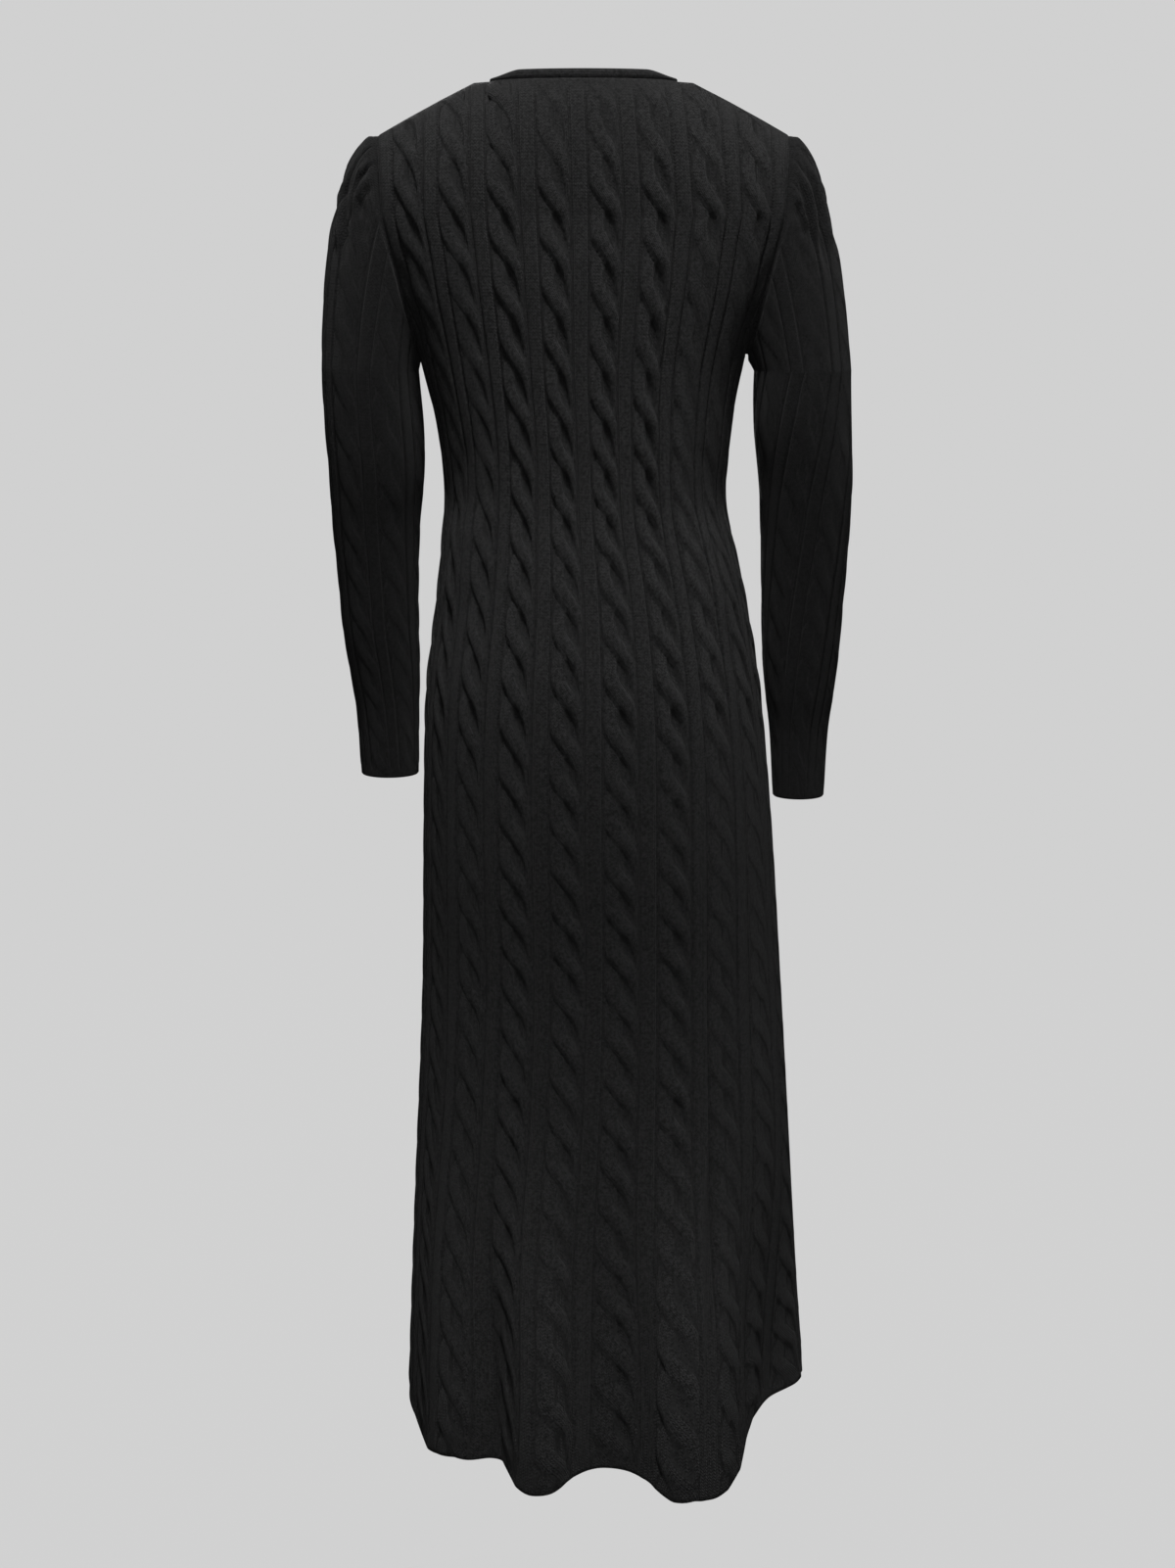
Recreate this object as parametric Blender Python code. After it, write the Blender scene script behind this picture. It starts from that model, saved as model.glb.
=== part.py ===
"""Cable-knit sweater dress, worn shape with no wearer: open neck, sleeves and hem.

Five knitted pieces: back panel, front panel, two sleeves and a rolled neckband.
Each wall is a 3.2 mm cloth, plain inside, with the crossed cables raised on its outer side.
Metres, +Z up, the back of the dress faces +Y, the wearer's left is +X.
Columns of knitting are counted in repeats (one cable and one plain rib) from the middle of
a panel, rising towards the right of someone who looks at that panel from outside.
Rows are counted in cable crossings, rising downwards.
"""
import math
from collections import namedtuple
from functools import lru_cache

import bmesh
import bpy
import numpy as np
from mathutils import Vector

# ------------------------------------------------------------------ sizes of the whole dress
WALL = 0.0032              # cloth under the cables
SEAM_GAP = 0.0003          # space between two sewn pieces
HEM_Z = -1.203
UNDERARM_Z = -0.238
YOKE_Z = -0.120            # above this the columns bend over to the shoulder line
TIP_X = 0.180              # outer end of the shoulder line
TIP_Z = -0.0505
NECK_X = 0.0815            # neckline at the side of the neck
NECK_Z = -0.0045
NECK_BACK_Y = 0.053
NECK_FRONT_Y = 0.062
NECK_FRONT_DROP = 0.070
UPPER_LEAN = 0.0035        # the shoulders stand this far towards the wearer's left
UPPER_LEAN_Z = (-0.36, -0.24)      # none below the first height, all of it above the second
ARMHOLE_Y = 0.039          # half depth of the armhole, front to back
SECTION_SQUARE = 2.15      # 2 is an ellipse, more is squarer
YOKE_ROUND_MIDDLE = 0.35   # how far a column bends like a quarter ellipse, at mid neck
YOKE_ROUND_SIDE = {"back": 0.45, "front": 0.30}    # and this much more at the shoulders
SECTION_STEPS = 120
CURVE_STEPS = 24

# ------------------------------------------------------------------ columns and rows
PANEL_REPEATS = 5.0        # from the middle of a panel to its side seam
ARMHOLE_REPEATS = 4.1667   # from the middle to the upright part of the armhole
ARMHOLE_BEND_Z = -0.168    # the armhole starts to cut into the last cable here
REPEAT_LENGTH = 0.045      # width of a repeat for which the cable heights are given
ROW_LEAN = 1.8             # rows a crossing strand drops for each repeat it runs sideways
LEAN_ROWS = 1.2            # rows over which that lean sets in below an upper edge
EDGE_ROWS = 0.22           # no cable point nearer than this to the lower end
TOP_ROWS = 0.10            # or than this to the upper end
ARMHOLE_FADE = (0.2, 1.3)  # rows over which a cable rises below the slanted armhole edge
NECK_FADE = (0.004, 0.014) # distance from the neckline over which a cable rises

Level = namedtuple("Level", "z half_width centre_x back front centre_shift seam_shift")
BODY_LEVELS = (
    Level(-0.120, 0.1743, 0.000, 0.084, 0.102, -0.003, 0.000),
    Level(-0.186, 0.1589, 0.000, 0.092, 0.118, -0.002, 0.000),
    Level(-0.238, 0.1425, 0.001, 0.094, 0.118, -0.001, 0.000),
    Level(-0.300, 0.1290, 0.001, 0.097, 0.109, -0.001, 0.000),
    Level(-0.366, 0.1243, 0.002, 0.103, 0.098, 0.000, 0.000),
    Level(-0.445, 0.1352, -0.003, 0.123, 0.102, 0.000, 0.000),
    Level(-0.534, 0.1482, -0.005, 0.141, 0.110, 0.000, 0.000),
    Level(-0.654, 0.1562, -0.009, 0.141, 0.115, -0.002, -0.002),
    Level(-0.808, 0.1630, -0.013, 0.131, 0.116, -0.004, -0.004),
    Level(-0.997, 0.1734, -0.015, 0.142, 0.128, -0.010, -0.006),
    Level(-1.203, 0.1848, -0.0175, 0.161, 0.150, -0.022, -0.010),
)
Edge = namedtuple("Edge", "z x")
ARMHOLE_EDGE = (
    Edge(-0.0505, 0.1800),
    Edge(-0.083, 0.1800),
    Edge(-0.111, 0.1765),
    Edge(-0.162, 0.1634),
    Edge(-0.196, 0.1552),
    Edge(-0.238, 0.1425),
)
# folds that swing out towards the hem: middle, half widths to either side and reach at the hem
Fold = namedtuple("Fold", "x width_left width_right reach")
FOLD_START_Z = -0.88
FOLD_SWING = 1.3           # how late a fold opens on its way down
FOLD_FLAT = 2.6            # more makes flatter crowns and steeper flanks
FOLDS = {
    "back": (
        Fold(0.126, 0.030, 0.038, 0.048),
        Fold(0.044, 0.028, 0.036, 0.062),
        Fold(-0.094, 0.044, 0.042, 0.078),
        Fold(-0.014, 0.024, 0.024, 0.006),
        Fold(-0.177, 0.026, 0.030, -0.050),
    ),
    "front": (
        Fold(0.128, 0.028, 0.032, 0.022),
        Fold(0.058, 0.036, 0.038, 0.036),
        Fold(-0.050, 0.046, 0.042, 0.042),
        Fold(-0.138, 0.034, 0.032, 0.024),
    ),
}
# where the columns of a panel meet its neckline and shoulder lines
TopPoint = namedtuple("TopPoint", "column x")
TOP_EDGE = {
    "back": (
        TopPoint(-4.1667, 0.180), TopPoint(-3.5, 0.153), TopPoint(-2.5, 0.110),
        TopPoint(-1.7, 0.0815), TopPoint(-0.5, 0.0275), TopPoint(0.5, -0.014),
        TopPoint(2.1667, -0.0815), TopPoint(3.5, -0.146), TopPoint(4.1667, -0.180),
    ),
    "front": (
        TopPoint(-4.1667, -0.180), TopPoint(-1.8333, -0.0815),
        TopPoint(1.8333, 0.0815), TopPoint(4.1667, 0.180),
    ),
}
ShoulderPoint = namedtuple("ShoulderPoint", "x z")
SHOULDER_LINE = (
    ShoulderPoint(0.0815, -0.0045), ShoulderPoint(0.095, -0.0055),
    ShoulderPoint(0.125, -0.0205), ShoulderPoint(0.155, -0.0365), ShoulderPoint(0.180, -0.0505),
)
# height of one cable crossing down the body and down a sleeve
Pitch = namedtuple("Pitch", "z length")
BODY_PITCH = (
    Pitch(0.060, 0.0480), Pitch(-0.040, 0.0480), Pitch(-0.085, 0.0460), Pitch(-0.130, 0.0430),
    Pitch(-0.173, 0.0446), Pitch(-0.218, 0.0460), Pitch(-0.270, 0.0425), Pitch(-0.340, 0.0402),
    Pitch(-0.480, 0.0400), Pitch(-0.705, 0.0395), Pitch(-0.745, 0.0368), Pitch(-0.800, 0.0378),
    Pitch(-1.000, 0.0390), Pitch(-1.250, 0.0400),
)
BODY_FIRST_ROW_Z = 0.0156
SLEEVE_PITCH = (
    Pitch(0.060, 0.0465), Pitch(-0.220, 0.0448), Pitch(-0.340, 0.0425),
    Pitch(-0.423, 0.0393), Pitch(-0.535, 0.0340), Pitch(-0.700, 0.0326),
)
SLEEVE_FIRST_ROW_Z = -0.1555

# ------------------------------------------------------------------ one cable crossing
# a front strand runs from upper left to lower right over the other strand
Mark = namedtuple("Mark", "row height")
Column = namedtuple("Column", "offset marks")
CABLE = (
    Column(-0.3333, (Mark(0.20, 0.0),)),
    Column(-0.2000, (Mark(0.00, 0.0030), Mark(0.50, 0.0010))),
    Column(0.0000, (Mark(0.33, 0.0030), Mark(0.83, 0.0006))),
    Column(0.2000, (Mark(0.65, 0.0030), Mark(0.30, 0.0012))),
    Column(0.3333, (Mark(0.70, 0.0),)),
)
INSIDE_COLUMNS = (0, 2, 4)      # columns of CABLE that the plain inside keeps

# marks of the plain columns: at the side seams, on a gusset and along an upright armhole edge
PLAIN_MARK = (Mark(0.45, 0.0),)
CLOSE_MARKS = (Mark(0.20, 0.0), Mark(0.70, 0.0))
EDGE_MARKS = (Mark(0.0, 0.0), Mark(0.25, 0.0), Mark(0.5, 0.0), Mark(0.75, 0.0))
EDGE_MARK_ROOM = 0.08      # rows kept free at both ends of the upright armhole edge
TIP_REPEATS = 2.4          # columns beyond this reach the outer shoulder or the underarm
OUTER_REPEATS = 3.4        # columns beyond this bend sharply at the shoulder
TIP_ROW = 3.4              # above this row they take a point between the marks as well
YOKE_ROW = 4.6             # the shoulder bend needs closer points above this row

# rows between the points of the plain inside, from the shoulder down to the hem
INSIDE_FIRST = 0.2         # place of its points in a crossing
INSIDE_TOP_ROOM = 0.15     # rows kept free at its upper end
INSIDE_HEM_ROOM = 0.4      # and at its lower end
INSIDE_TIP_STEP = 0.25
INSIDE_YOKE_STEP = 0.5
INSIDE_BODY_STEP = 1.0
UNDERARM_ROW = 9.0         # the columns by the underarm keep the yoke's step down to here
INSIDE_CLOSE_ROW = 10.5    # below this row the points stand wider apart
INSIDE_SKIRT_STEP = 3.0
HEM_FOLD_ROW = 21.0        # below this row the folds need closer points again
INSIDE_FOLD_STEP = 1.5
INSIDE_HEAD_ROWS = 0.5     # a sleeve keeps the yoke's step to this far below its head

COLUMN_STEP = 0.02         # steps for taking a surface's direction
HEIGHT_STEP = 0.0015

# ------------------------------------------------------------------ sleeves
RING_Z = -0.252            # the sleeve is a level tube from here down to the cuff
SLEEVE_CABLES = 6
SLEEVE_CLEAR = 0.0008      # between the sleeve and the outer face of the panels
UNDERARM_CLEAR = 0.0014    # and this much more at the underarm
# how full a sleeve head is, in shares of the way from the armhole down to the level tube
HeadBend = namedtuple("HeadBend", "out_side out_crown along down_side down_crown")
HEAD_BEND = {
    "left": HeadBend(0.55, 0.38, 0.75, 0.42, 0.32),
    "right": HeadBend(0.55, 0.16, 0.75, 0.42, 0.32),
}
SleeveLevel = namedtuple("SleeveLevel", "z centre_x centre_y radius flat gusset pitch")
SLEEVES = {
    "left": (
        SleeveLevel(-0.252, 0.1863, -0.001, 0.0423, 0.0045, 123.0, 50.0),
        SleeveLevel(-0.300, 0.1872, -0.005, 0.0417, 0.0010, 122.0, 52.0),
        SleeveLevel(-0.341, 0.1880, -0.009, 0.0399, 0.0000, 122.0, 54.0),
        SleeveLevel(-0.387, 0.1898, -0.017, 0.0367, 0.0000, 122.0, 56.0),
        SleeveLevel(-0.437, 0.1893, -0.024, 0.0337, 0.0000, 123.0, 57.5),
        SleeveLevel(-0.487, 0.1880, -0.031, 0.0317, 0.0000, 125.0, 58.0),
        SleeveLevel(-0.523, 0.1855, -0.036, 0.0293, 0.0000, 128.0, 58.5),
        SleeveLevel(-0.562, 0.1835, -0.040, 0.0260, 0.0000, 132.0, 58.5),
        SleeveLevel(-0.621, 0.1825, -0.045, 0.0238, 0.0000, 137.0, 58.5),
    ),
    "right": (
        SleeveLevel(-0.252, -0.1915, -0.001, 0.0423, 0.0045, -137.0, 50.0),
        SleeveLevel(-0.302, -0.1922, -0.004, 0.0415, 0.0015, -150.0, 53.0),
        SleeveLevel(-0.358, -0.1952, -0.012, 0.0388, 0.0000, -170.0, 55.0),
        SleeveLevel(-0.413, -0.1957, -0.021, 0.0365, 0.0000, -181.0, 56.5),
        SleeveLevel(-0.469, -0.1950, -0.029, 0.0340, 0.0000, -191.0, 58.0),
        SleeveLevel(-0.506, -0.1946, -0.034, 0.0323, 0.0000, -196.0, 58.5),
        SleeveLevel(-0.544, -0.1944, -0.038, 0.0288, 0.0000, -202.0, 58.5),
        SleeveLevel(-0.582, -0.1945, -0.042, 0.0242, 0.0000, -210.0, 58.5),
        SleeveLevel(-0.642, -0.1952, -0.046, 0.0210, 0.0000, -216.0, 58.5),
    ),
}
OUTWARD = {"left": 1.0, "right": -1.0}

# ------------------------------------------------------------------ neckband
BAND_HEIGHT = 0.0070
BAND_THICK = 0.0036
BAND_LIFT = 0.0003
BAND_SECTION = (           # across and up, in halves of the thickness and in heights
    (-1.0, 0.0), (1.0, 0.0), (1.0, 0.62), (0.55, 0.95), (-0.45, 1.0), (-1.0, 0.65),
)

COLLECTION = "cable_knit_sweater_dress"
CLOTH_COLOUR = (0.012, 0.012, 0.013, 1.0)
BAND_COLOUR = (0.010, 0.010, 0.011, 1.0)


# ------------------------------------------------------------------ helpers
def follow(rows, z, name):
    """Smooth value of a table column at height z; the rows run downwards."""
    if z >= rows[0].z:
        return getattr(rows[0], name)
    if z <= rows[-1].z:
        return getattr(rows[-1], name)
    k = 0
    while rows[k + 1].z > z:
        k += 1
    values = [getattr(rows[min(max(i, 0), len(rows) - 1)], name) for i in range(k - 1, k + 3)]
    heights = [rows[min(max(i, 0), len(rows) - 1)].z for i in range(k - 1, k + 3)]
    step = heights[2] - heights[1]
    u = (z - heights[1]) / step
    lead = step * (values[2] - values[0]) / (heights[2] - heights[0])
    trail = step * (values[3] - values[1]) / (heights[3] - heights[1])
    u2 = u * u
    u3 = u2 * u
    return (
        (2 * u3 - 3 * u2 + 1) * values[1] + (u3 - 2 * u2 + u) * lead
        + (3 * u2 - 2 * u3) * values[2] + (u3 - u2) * trail
    )


def soft_step(low, high, value):
    u = min(max((value - low) / (high - low), 0.0), 1.0)
    return u * u * (3.0 - 2.0 * u)


def running_length(points):
    steps = np.linalg.norm(np.diff(points, axis=0), axis=1)
    return np.concatenate(([0.0], np.cumsum(steps)))


def point_at(points, lengths, where):
    return np.array([np.interp(where, lengths, points[:, i]) for i in range(points.shape[1])])


def ladder(pitch_rows, first_z):
    """Heights and row counts along the cloth, for turning one into the other."""
    heights = [pitch_rows[0].z]
    rows = [0.0]
    step = 0.005
    while heights[-1] > pitch_rows[-1].z:
        z = heights[-1] - step
        rows.append(rows[-1] + step / follow(pitch_rows, z + 0.5 * step, "length"))
        heights.append(z)
    heights = np.array(heights)
    rows = np.array(rows)
    rows = rows - np.interp(-first_z, -heights, rows) + 1.0
    return heights, rows


BODY_LADDER = ladder(BODY_PITCH, BODY_FIRST_ROW_Z)
SLEEVE_LADDER = ladder(SLEEVE_PITCH, SLEEVE_FIRST_ROW_Z)


def row_of(rungs, height):
    return float(np.interp(-height, -rungs[0], rungs[1]))


def height_of(rungs, row):
    return float(np.interp(row, rungs[1], rungs[0]))


# ------------------------------------------------------------------ body surface
def armhole_reach(z):
    """How far forward or back the armhole edge lies at height z."""
    middle = 0.5 * (TIP_Z + UNDERARM_Z)
    half = 0.5 * (TIP_Z - UNDERARM_Z)
    inside = 1.0 - ((z - middle) / half) ** 2
    return ARMHOLE_Y * math.sqrt(max(inside, 0.0))


def edge_repeats(z):
    """Columns from the middle of a panel to its edge at height z."""
    share = min(max((z - UNDERARM_Z) / (ARMHOLE_BEND_Z - UNDERARM_Z), 0.0), 1.0)
    round_share = math.sqrt(1.0 - (1.0 - share) ** 2)
    return PANEL_REPEATS + (ARMHOLE_REPEATS - PANEL_REPEATS) * round_share


def edge_height(column):
    """Height at which the armhole cuts a column outside ARMHOLE_REPEATS."""
    round_share = (PANEL_REPEATS - abs(column)) / (PANEL_REPEATS - ARMHOLE_REPEATS)
    share = 1.0 - math.sqrt(max(1.0 - round_share ** 2, 0.0))
    return UNDERARM_Z + (ARMHOLE_BEND_Z - UNDERARM_Z) * share


def fold_share(fold, x):
    """How much of a fold's reach the cloth has at x."""
    width = fold.width_left if x > fold.x else fold.width_right
    return math.exp(-abs((x - fold.x) / width) ** FOLD_FLAT)


@lru_cache(maxsize=None)
def section(panel, z):
    """Level cut of a panel as points in order of its columns, with their running length."""
    turn = -1.0 if panel == "back" else 1.0
    if z > UNDERARM_Z:
        half = follow(ARMHOLE_EDGE, z, "x")
        reach = armhole_reach(z)
    else:
        half = follow(BODY_LEVELS, z, "half_width")
        reach = 0.0
    centre = follow(BODY_LEVELS, z, "centre_x")
    depth = follow(BODY_LEVELS, z, panel)
    swing = soft_step(-FOLD_START_Z, -HEM_Z, -z) ** FOLD_SWING
    power = 2.0 / SECTION_SQUARE
    points = []
    for k in range(SECTION_STEPS + 1):
        angle = math.pi * (k / SECTION_STEPS - 0.5)
        sweep = math.copysign(abs(math.sin(angle)) ** power, angle)
        swell = max(math.cos(angle), 0.0) ** power
        x = centre + turn * half * sweep
        out = sum(f.reach * fold_share(f, x) for f in FOLDS[panel])
        y = (reach ** 3 + (depth * swell) ** 3) ** (1.0 / 3.0) + swing * out * swell ** 0.5
        points.append((x, -turn * y))
    points = np.array(points)
    return points, running_length(points)


def level_point(panel, column, z):
    """Point of a panel on its level cut at height z."""
    points, lengths = section(panel, z)
    total = lengths[-1]
    edge = edge_repeats(z)
    shift = follow(BODY_LEVELS, z, "centre_shift") if panel == "back" else 0.0
    turn = follow(BODY_LEVELS, z, "seam_shift")
    middle = 0.5 * total + shift
    share = min(max(column / edge, -1.0), 1.0)
    where = middle * (1.0 + share) if share < 0.0 else middle + (total - middle) * share
    where = min(max(where, 0.5 * SEAM_GAP), total - 0.5 * SEAM_GAP) + turn
    if where < 0.0:
        points, lengths = section("front" if panel == "back" else "back", z)
        where += lengths[-1]
    elif where > total:
        points, lengths = section("front" if panel == "back" else "back", z)
        where -= total
    x, y = point_at(points, lengths, where)
    return np.array((x, y, z))


def top_point(panel, column):
    """Upper end of a column, on the neckline or on the shoulder line."""
    table = TOP_EDGE[panel]
    x = float(np.interp(column, [p.column for p in table], [p.x for p in table]))
    side = 1.0 if panel == "back" else -1.0
    if abs(x) >= NECK_X - 1e-6:
        z = np.interp(abs(x), [p.x for p in SHOULDER_LINE], [p.z for p in SHOULDER_LINE])
        return np.array((x, side * 0.5 * SEAM_GAP, z))
    round_part = 1.0 - (x / NECK_X) ** 2
    reach = NECK_BACK_Y if panel == "back" else NECK_FRONT_Y
    drop = 0.0 if panel == "back" else NECK_FRONT_DROP * round_part
    y = side * (0.5 * SEAM_GAP + reach * math.sqrt(round_part))
    return np.array((x, y, NECK_Z - drop))


@lru_cache(maxsize=None)
def yoke_curve(panel, column):
    """Course of a column from the level part up to its top."""
    foot = level_point(panel, column, YOKE_Z)
    top = top_point(panel, column)
    roundness = YOKE_ROUND_MIDDLE + YOKE_ROUND_SIDE[panel] * soft_step(
        0.25 * NECK_X, NECK_X, abs(top[0]))
    points = []
    for k in range(CURVE_STEPS + 1):
        q = k / CURVE_STEPS
        rise = roundness * math.sin(0.5 * math.pi * q) + (1.0 - roundness) * q
        lean = roundness * (1.0 - math.cos(0.5 * math.pi * q)) + (1.0 - roundness) * q * q
        points.append((
            foot[0] + (top[0] - foot[0]) * q,
            foot[1] + (top[1] - foot[1]) * lean,
            foot[2] + (top[2] - foot[2]) * rise,
        ))
    points = np.array(points)
    return points, running_length(points)


def body_point(panel, column, height):
    """Point of the plain panel; heights above the yoke are measured along the cloth."""
    if height <= YOKE_Z:
        return level_point(panel, column, height)
    points, lengths = yoke_curve(panel, column)
    return point_at(points, lengths, min(height - YOKE_Z, lengths[-1]))


def body_top(panel, column):
    """Height along the cloth at which a column ends."""
    if abs(column) > ARMHOLE_REPEATS + 1e-6:
        return edge_height(column)
    return YOKE_Z + yoke_curve(panel, column)[1][-1]


# ------------------------------------------------------------------ sleeve surface
def sleeve_ring(side, angle, z):
    """Point of the level part of a sleeve; angle 0 faces back, rising to the viewer's right."""
    rows = SLEEVES[side]
    radius = follow(rows, z, "radius")
    inward = max(math.sin(angle) * OUTWARD[side], 0.0)
    radius -= follow(rows, z, "flat") * inward ** 2
    x = follow(rows, z, "centre_x") - radius * math.sin(angle)
    y = follow(rows, z, "centre_y") + radius * math.cos(angle)
    return np.array((x, y, z))


@lru_cache(maxsize=None)
def sleeve_head(side, angle):
    """Course of a sleeve column from the level tube up to the armhole."""
    outward = OUTWARD[side]
    around = angle + 0.5 * math.pi if outward > 0.0 else 0.5 * math.pi - angle
    high = math.cos(around)
    z = 0.5 * (TIP_Z + UNDERARM_Z) + 0.5 * (TIP_Z - UNDERARM_Z) * high
    clear = SLEEVE_CLEAR + UNDERARM_CLEAR * max(-high, 0.0) ** 2
    x = outward * (follow(ARMHOLE_EDGE, z, "x") + clear)
    start = np.array((x, ARMHOLE_Y * math.sin(around), z))
    foot = sleeve_ring(side, angle, RING_Z)
    crown = max(high, 0.0)
    form = HEAD_BEND[side]
    bend = start + (foot - start) * np.array((
        form.out_side + form.out_crown * crown, form.along,
        form.down_side - form.down_crown * crown))
    points = []
    for k in range(CURVE_STEPS + 1):
        q = k / CURVE_STEPS
        points.append(foot * (1 - q) ** 2 + bend * 2 * q * (1 - q) + start * q * q)
    points = np.array(points)
    return points, running_length(points)


def sleeve_angle(side, column, height):
    """Angle of a column of a sleeve; columns run from 0 to SLEEVE_CABLES, then the gusset."""
    z = min(height, RING_Z)
    pitch = follow(SLEEVES[side], z, "pitch")
    gusset = follow(SLEEVES[side], z, "gusset")
    spare = 360.0 - SLEEVE_CABLES * pitch
    if column <= SLEEVE_CABLES:
        return math.radians(gusset + 0.5 * spare + column * pitch)
    return math.radians(gusset + 0.5 * spare + SLEEVE_CABLES * pitch
                        + (column - SLEEVE_CABLES) * spare)


def sleeve_point(side, column, height):
    angle = sleeve_angle(side, column, height)
    if height <= RING_Z:
        return sleeve_ring(side, angle, height)
    points, lengths = sleeve_head(side, round(angle, 6))
    return point_at(points, lengths, min(height - RING_Z, lengths[-1]))


def sleeve_top(side, column):
    angle = sleeve_angle(side, column, RING_Z)
    return RING_Z + sleeve_head(side, round(angle, 6))[1][-1]


def neck_line(panel):
    """The neckline edge of a panel as a row of points."""
    table = TOP_EDGE[panel]
    return np.array([top_point(panel, c)
                     for c in np.linspace(table[0].column, table[-1].column, 400)
                     if abs(top_point(panel, c)[0]) <= NECK_X])


NECK_LINES = {panel: neck_line(panel) for panel in ("back", "front")}


def neck_fade(panel, point):
    """How far a cable has risen at a distance from the neckline."""
    distance = np.min(np.linalg.norm(NECK_LINES[panel] - point, axis=1))
    return soft_step(NECK_FADE[0], NECK_FADE[1], distance)


# ------------------------------------------------------------------ walls
def outward_normal(place, piece, column, height):
    """Outward direction of a plain surface at a column and height."""
    across = (place(piece, column + COLUMN_STEP, height)
              - place(piece, column - COLUMN_STEP, height))
    along = (place(piece, column, height + HEIGHT_STEP)
             - place(piece, column, height - HEIGHT_STEP))
    normal = np.cross(across, along)
    size = np.linalg.norm(normal)
    return normal / size


class Wall:
    """Collects the points and faces of one closed wall."""

    def __init__(self, place, piece, rungs):
        self.place = place
        self.piece = piece
        self.rungs = rungs
        self.points = []
        self.faces = []

    def add(self, column, row, lift, seam=False):
        """Add the point `lift` outside the plain surface and return its number."""
        height = height_of(self.rungs, row)
        base = self.place(self.piece, column, height)
        if lift > 0.0 and self.piece in NECK_LINES:
            lift *= neck_fade(self.piece, base)
        normal = outward_normal(self.place, self.piece, column, height)
        if seam:
            normal[1] = 0.0
            normal = normal / np.linalg.norm(normal)
        self.points.append(base + normal * lift)
        return len(self.points) - 1

    def zip(self, left, right):
        """Triangles between two chains of (key, point number) that run the same way."""
        i = 0
        j = 0
        while i < len(left) - 1 or j < len(right) - 1:
            left_next = i < len(left) - 1
            if left_next and j < len(right) - 1:
                left_next = left[i + 1][0] <= right[j + 1][0]
            if left_next:
                self.faces.append((left[i][1], left[i + 1][1], right[j][1]))
                i += 1
            else:
                self.faces.append((left[i][1], right[j + 1][1], right[j][1]))
                j += 1

    def bridge(self, outer, inner):
        """Close a rim between two chains of point numbers with the same ends."""
        chains = []
        for numbers in (outer, inner):
            lengths = running_length(np.array([self.points[n] for n in numbers]))
            chains.append([(s / lengths[-1], n) for s, n in zip(lengths, numbers)])
        self.zip(chains[0], chains[1])


def rows_between(first, last, marks, margin=EDGE_ROWS, top_margin=TOP_ROWS):
    """Rows and heights of the repeated marks between two ends, from the top down."""
    found = []
    for k in range(int(first) - 2, int(last) + 2):
        for mark in marks:
            row = k + mark.row
            if first + top_margin < row < last - margin:
                found.append((row, mark.height))
    return sorted(found)


def between_marks(spots, last):
    """One more point half way between the marks above a row, where the cloth bends sharply."""
    extra = [(0.5 * (a[0] + b[0]), 0.5 * (a[1] + b[1]))
             for a, b in zip(spots, spots[1:]) if a[0] < last]
    return sorted(spots + extra)


def inside_rows(first, last, column):
    """Rows of the plain inside: close at the shoulder bend, wide down the skirt."""
    found = []
    row = math.floor(first) + INSIDE_FIRST
    at_tip = abs(column) > OUTER_REPEATS
    by_underarm = abs(column) > TIP_REPEATS
    while row < last - INSIDE_HEM_ROOM:
        if row > first + INSIDE_TOP_ROOM:
            found.append((row, 0.0))
        if row < YOKE_ROW:
            row += INSIDE_TIP_STEP if at_tip else INSIDE_YOKE_STEP
        elif row < INSIDE_CLOSE_ROW:
            close = by_underarm and row < UNDERARM_ROW
            row += INSIDE_YOKE_STEP if close else INSIDE_BODY_STEP
        else:
            row += INSIDE_SKIRT_STEP if row < HEM_FOLD_ROW else INSIDE_FOLD_STEP
    return found


def panel_columns():
    """Columns of a panel as (column, offset in its cable, marks) from seam to seam."""
    columns = [(-PANEL_REPEATS, None, PLAIN_MARK)]
    for k in range(int(2 * PANEL_REPEATS)):
        centre = k - PANEL_REPEATS + 0.5
        for number, column in enumerate(CABLE):
            columns.append((round(centre + column.offset, 4), number, column.marks))
    columns.append((PANEL_REPEATS, None, PLAIN_MARK))
    return columns


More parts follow.
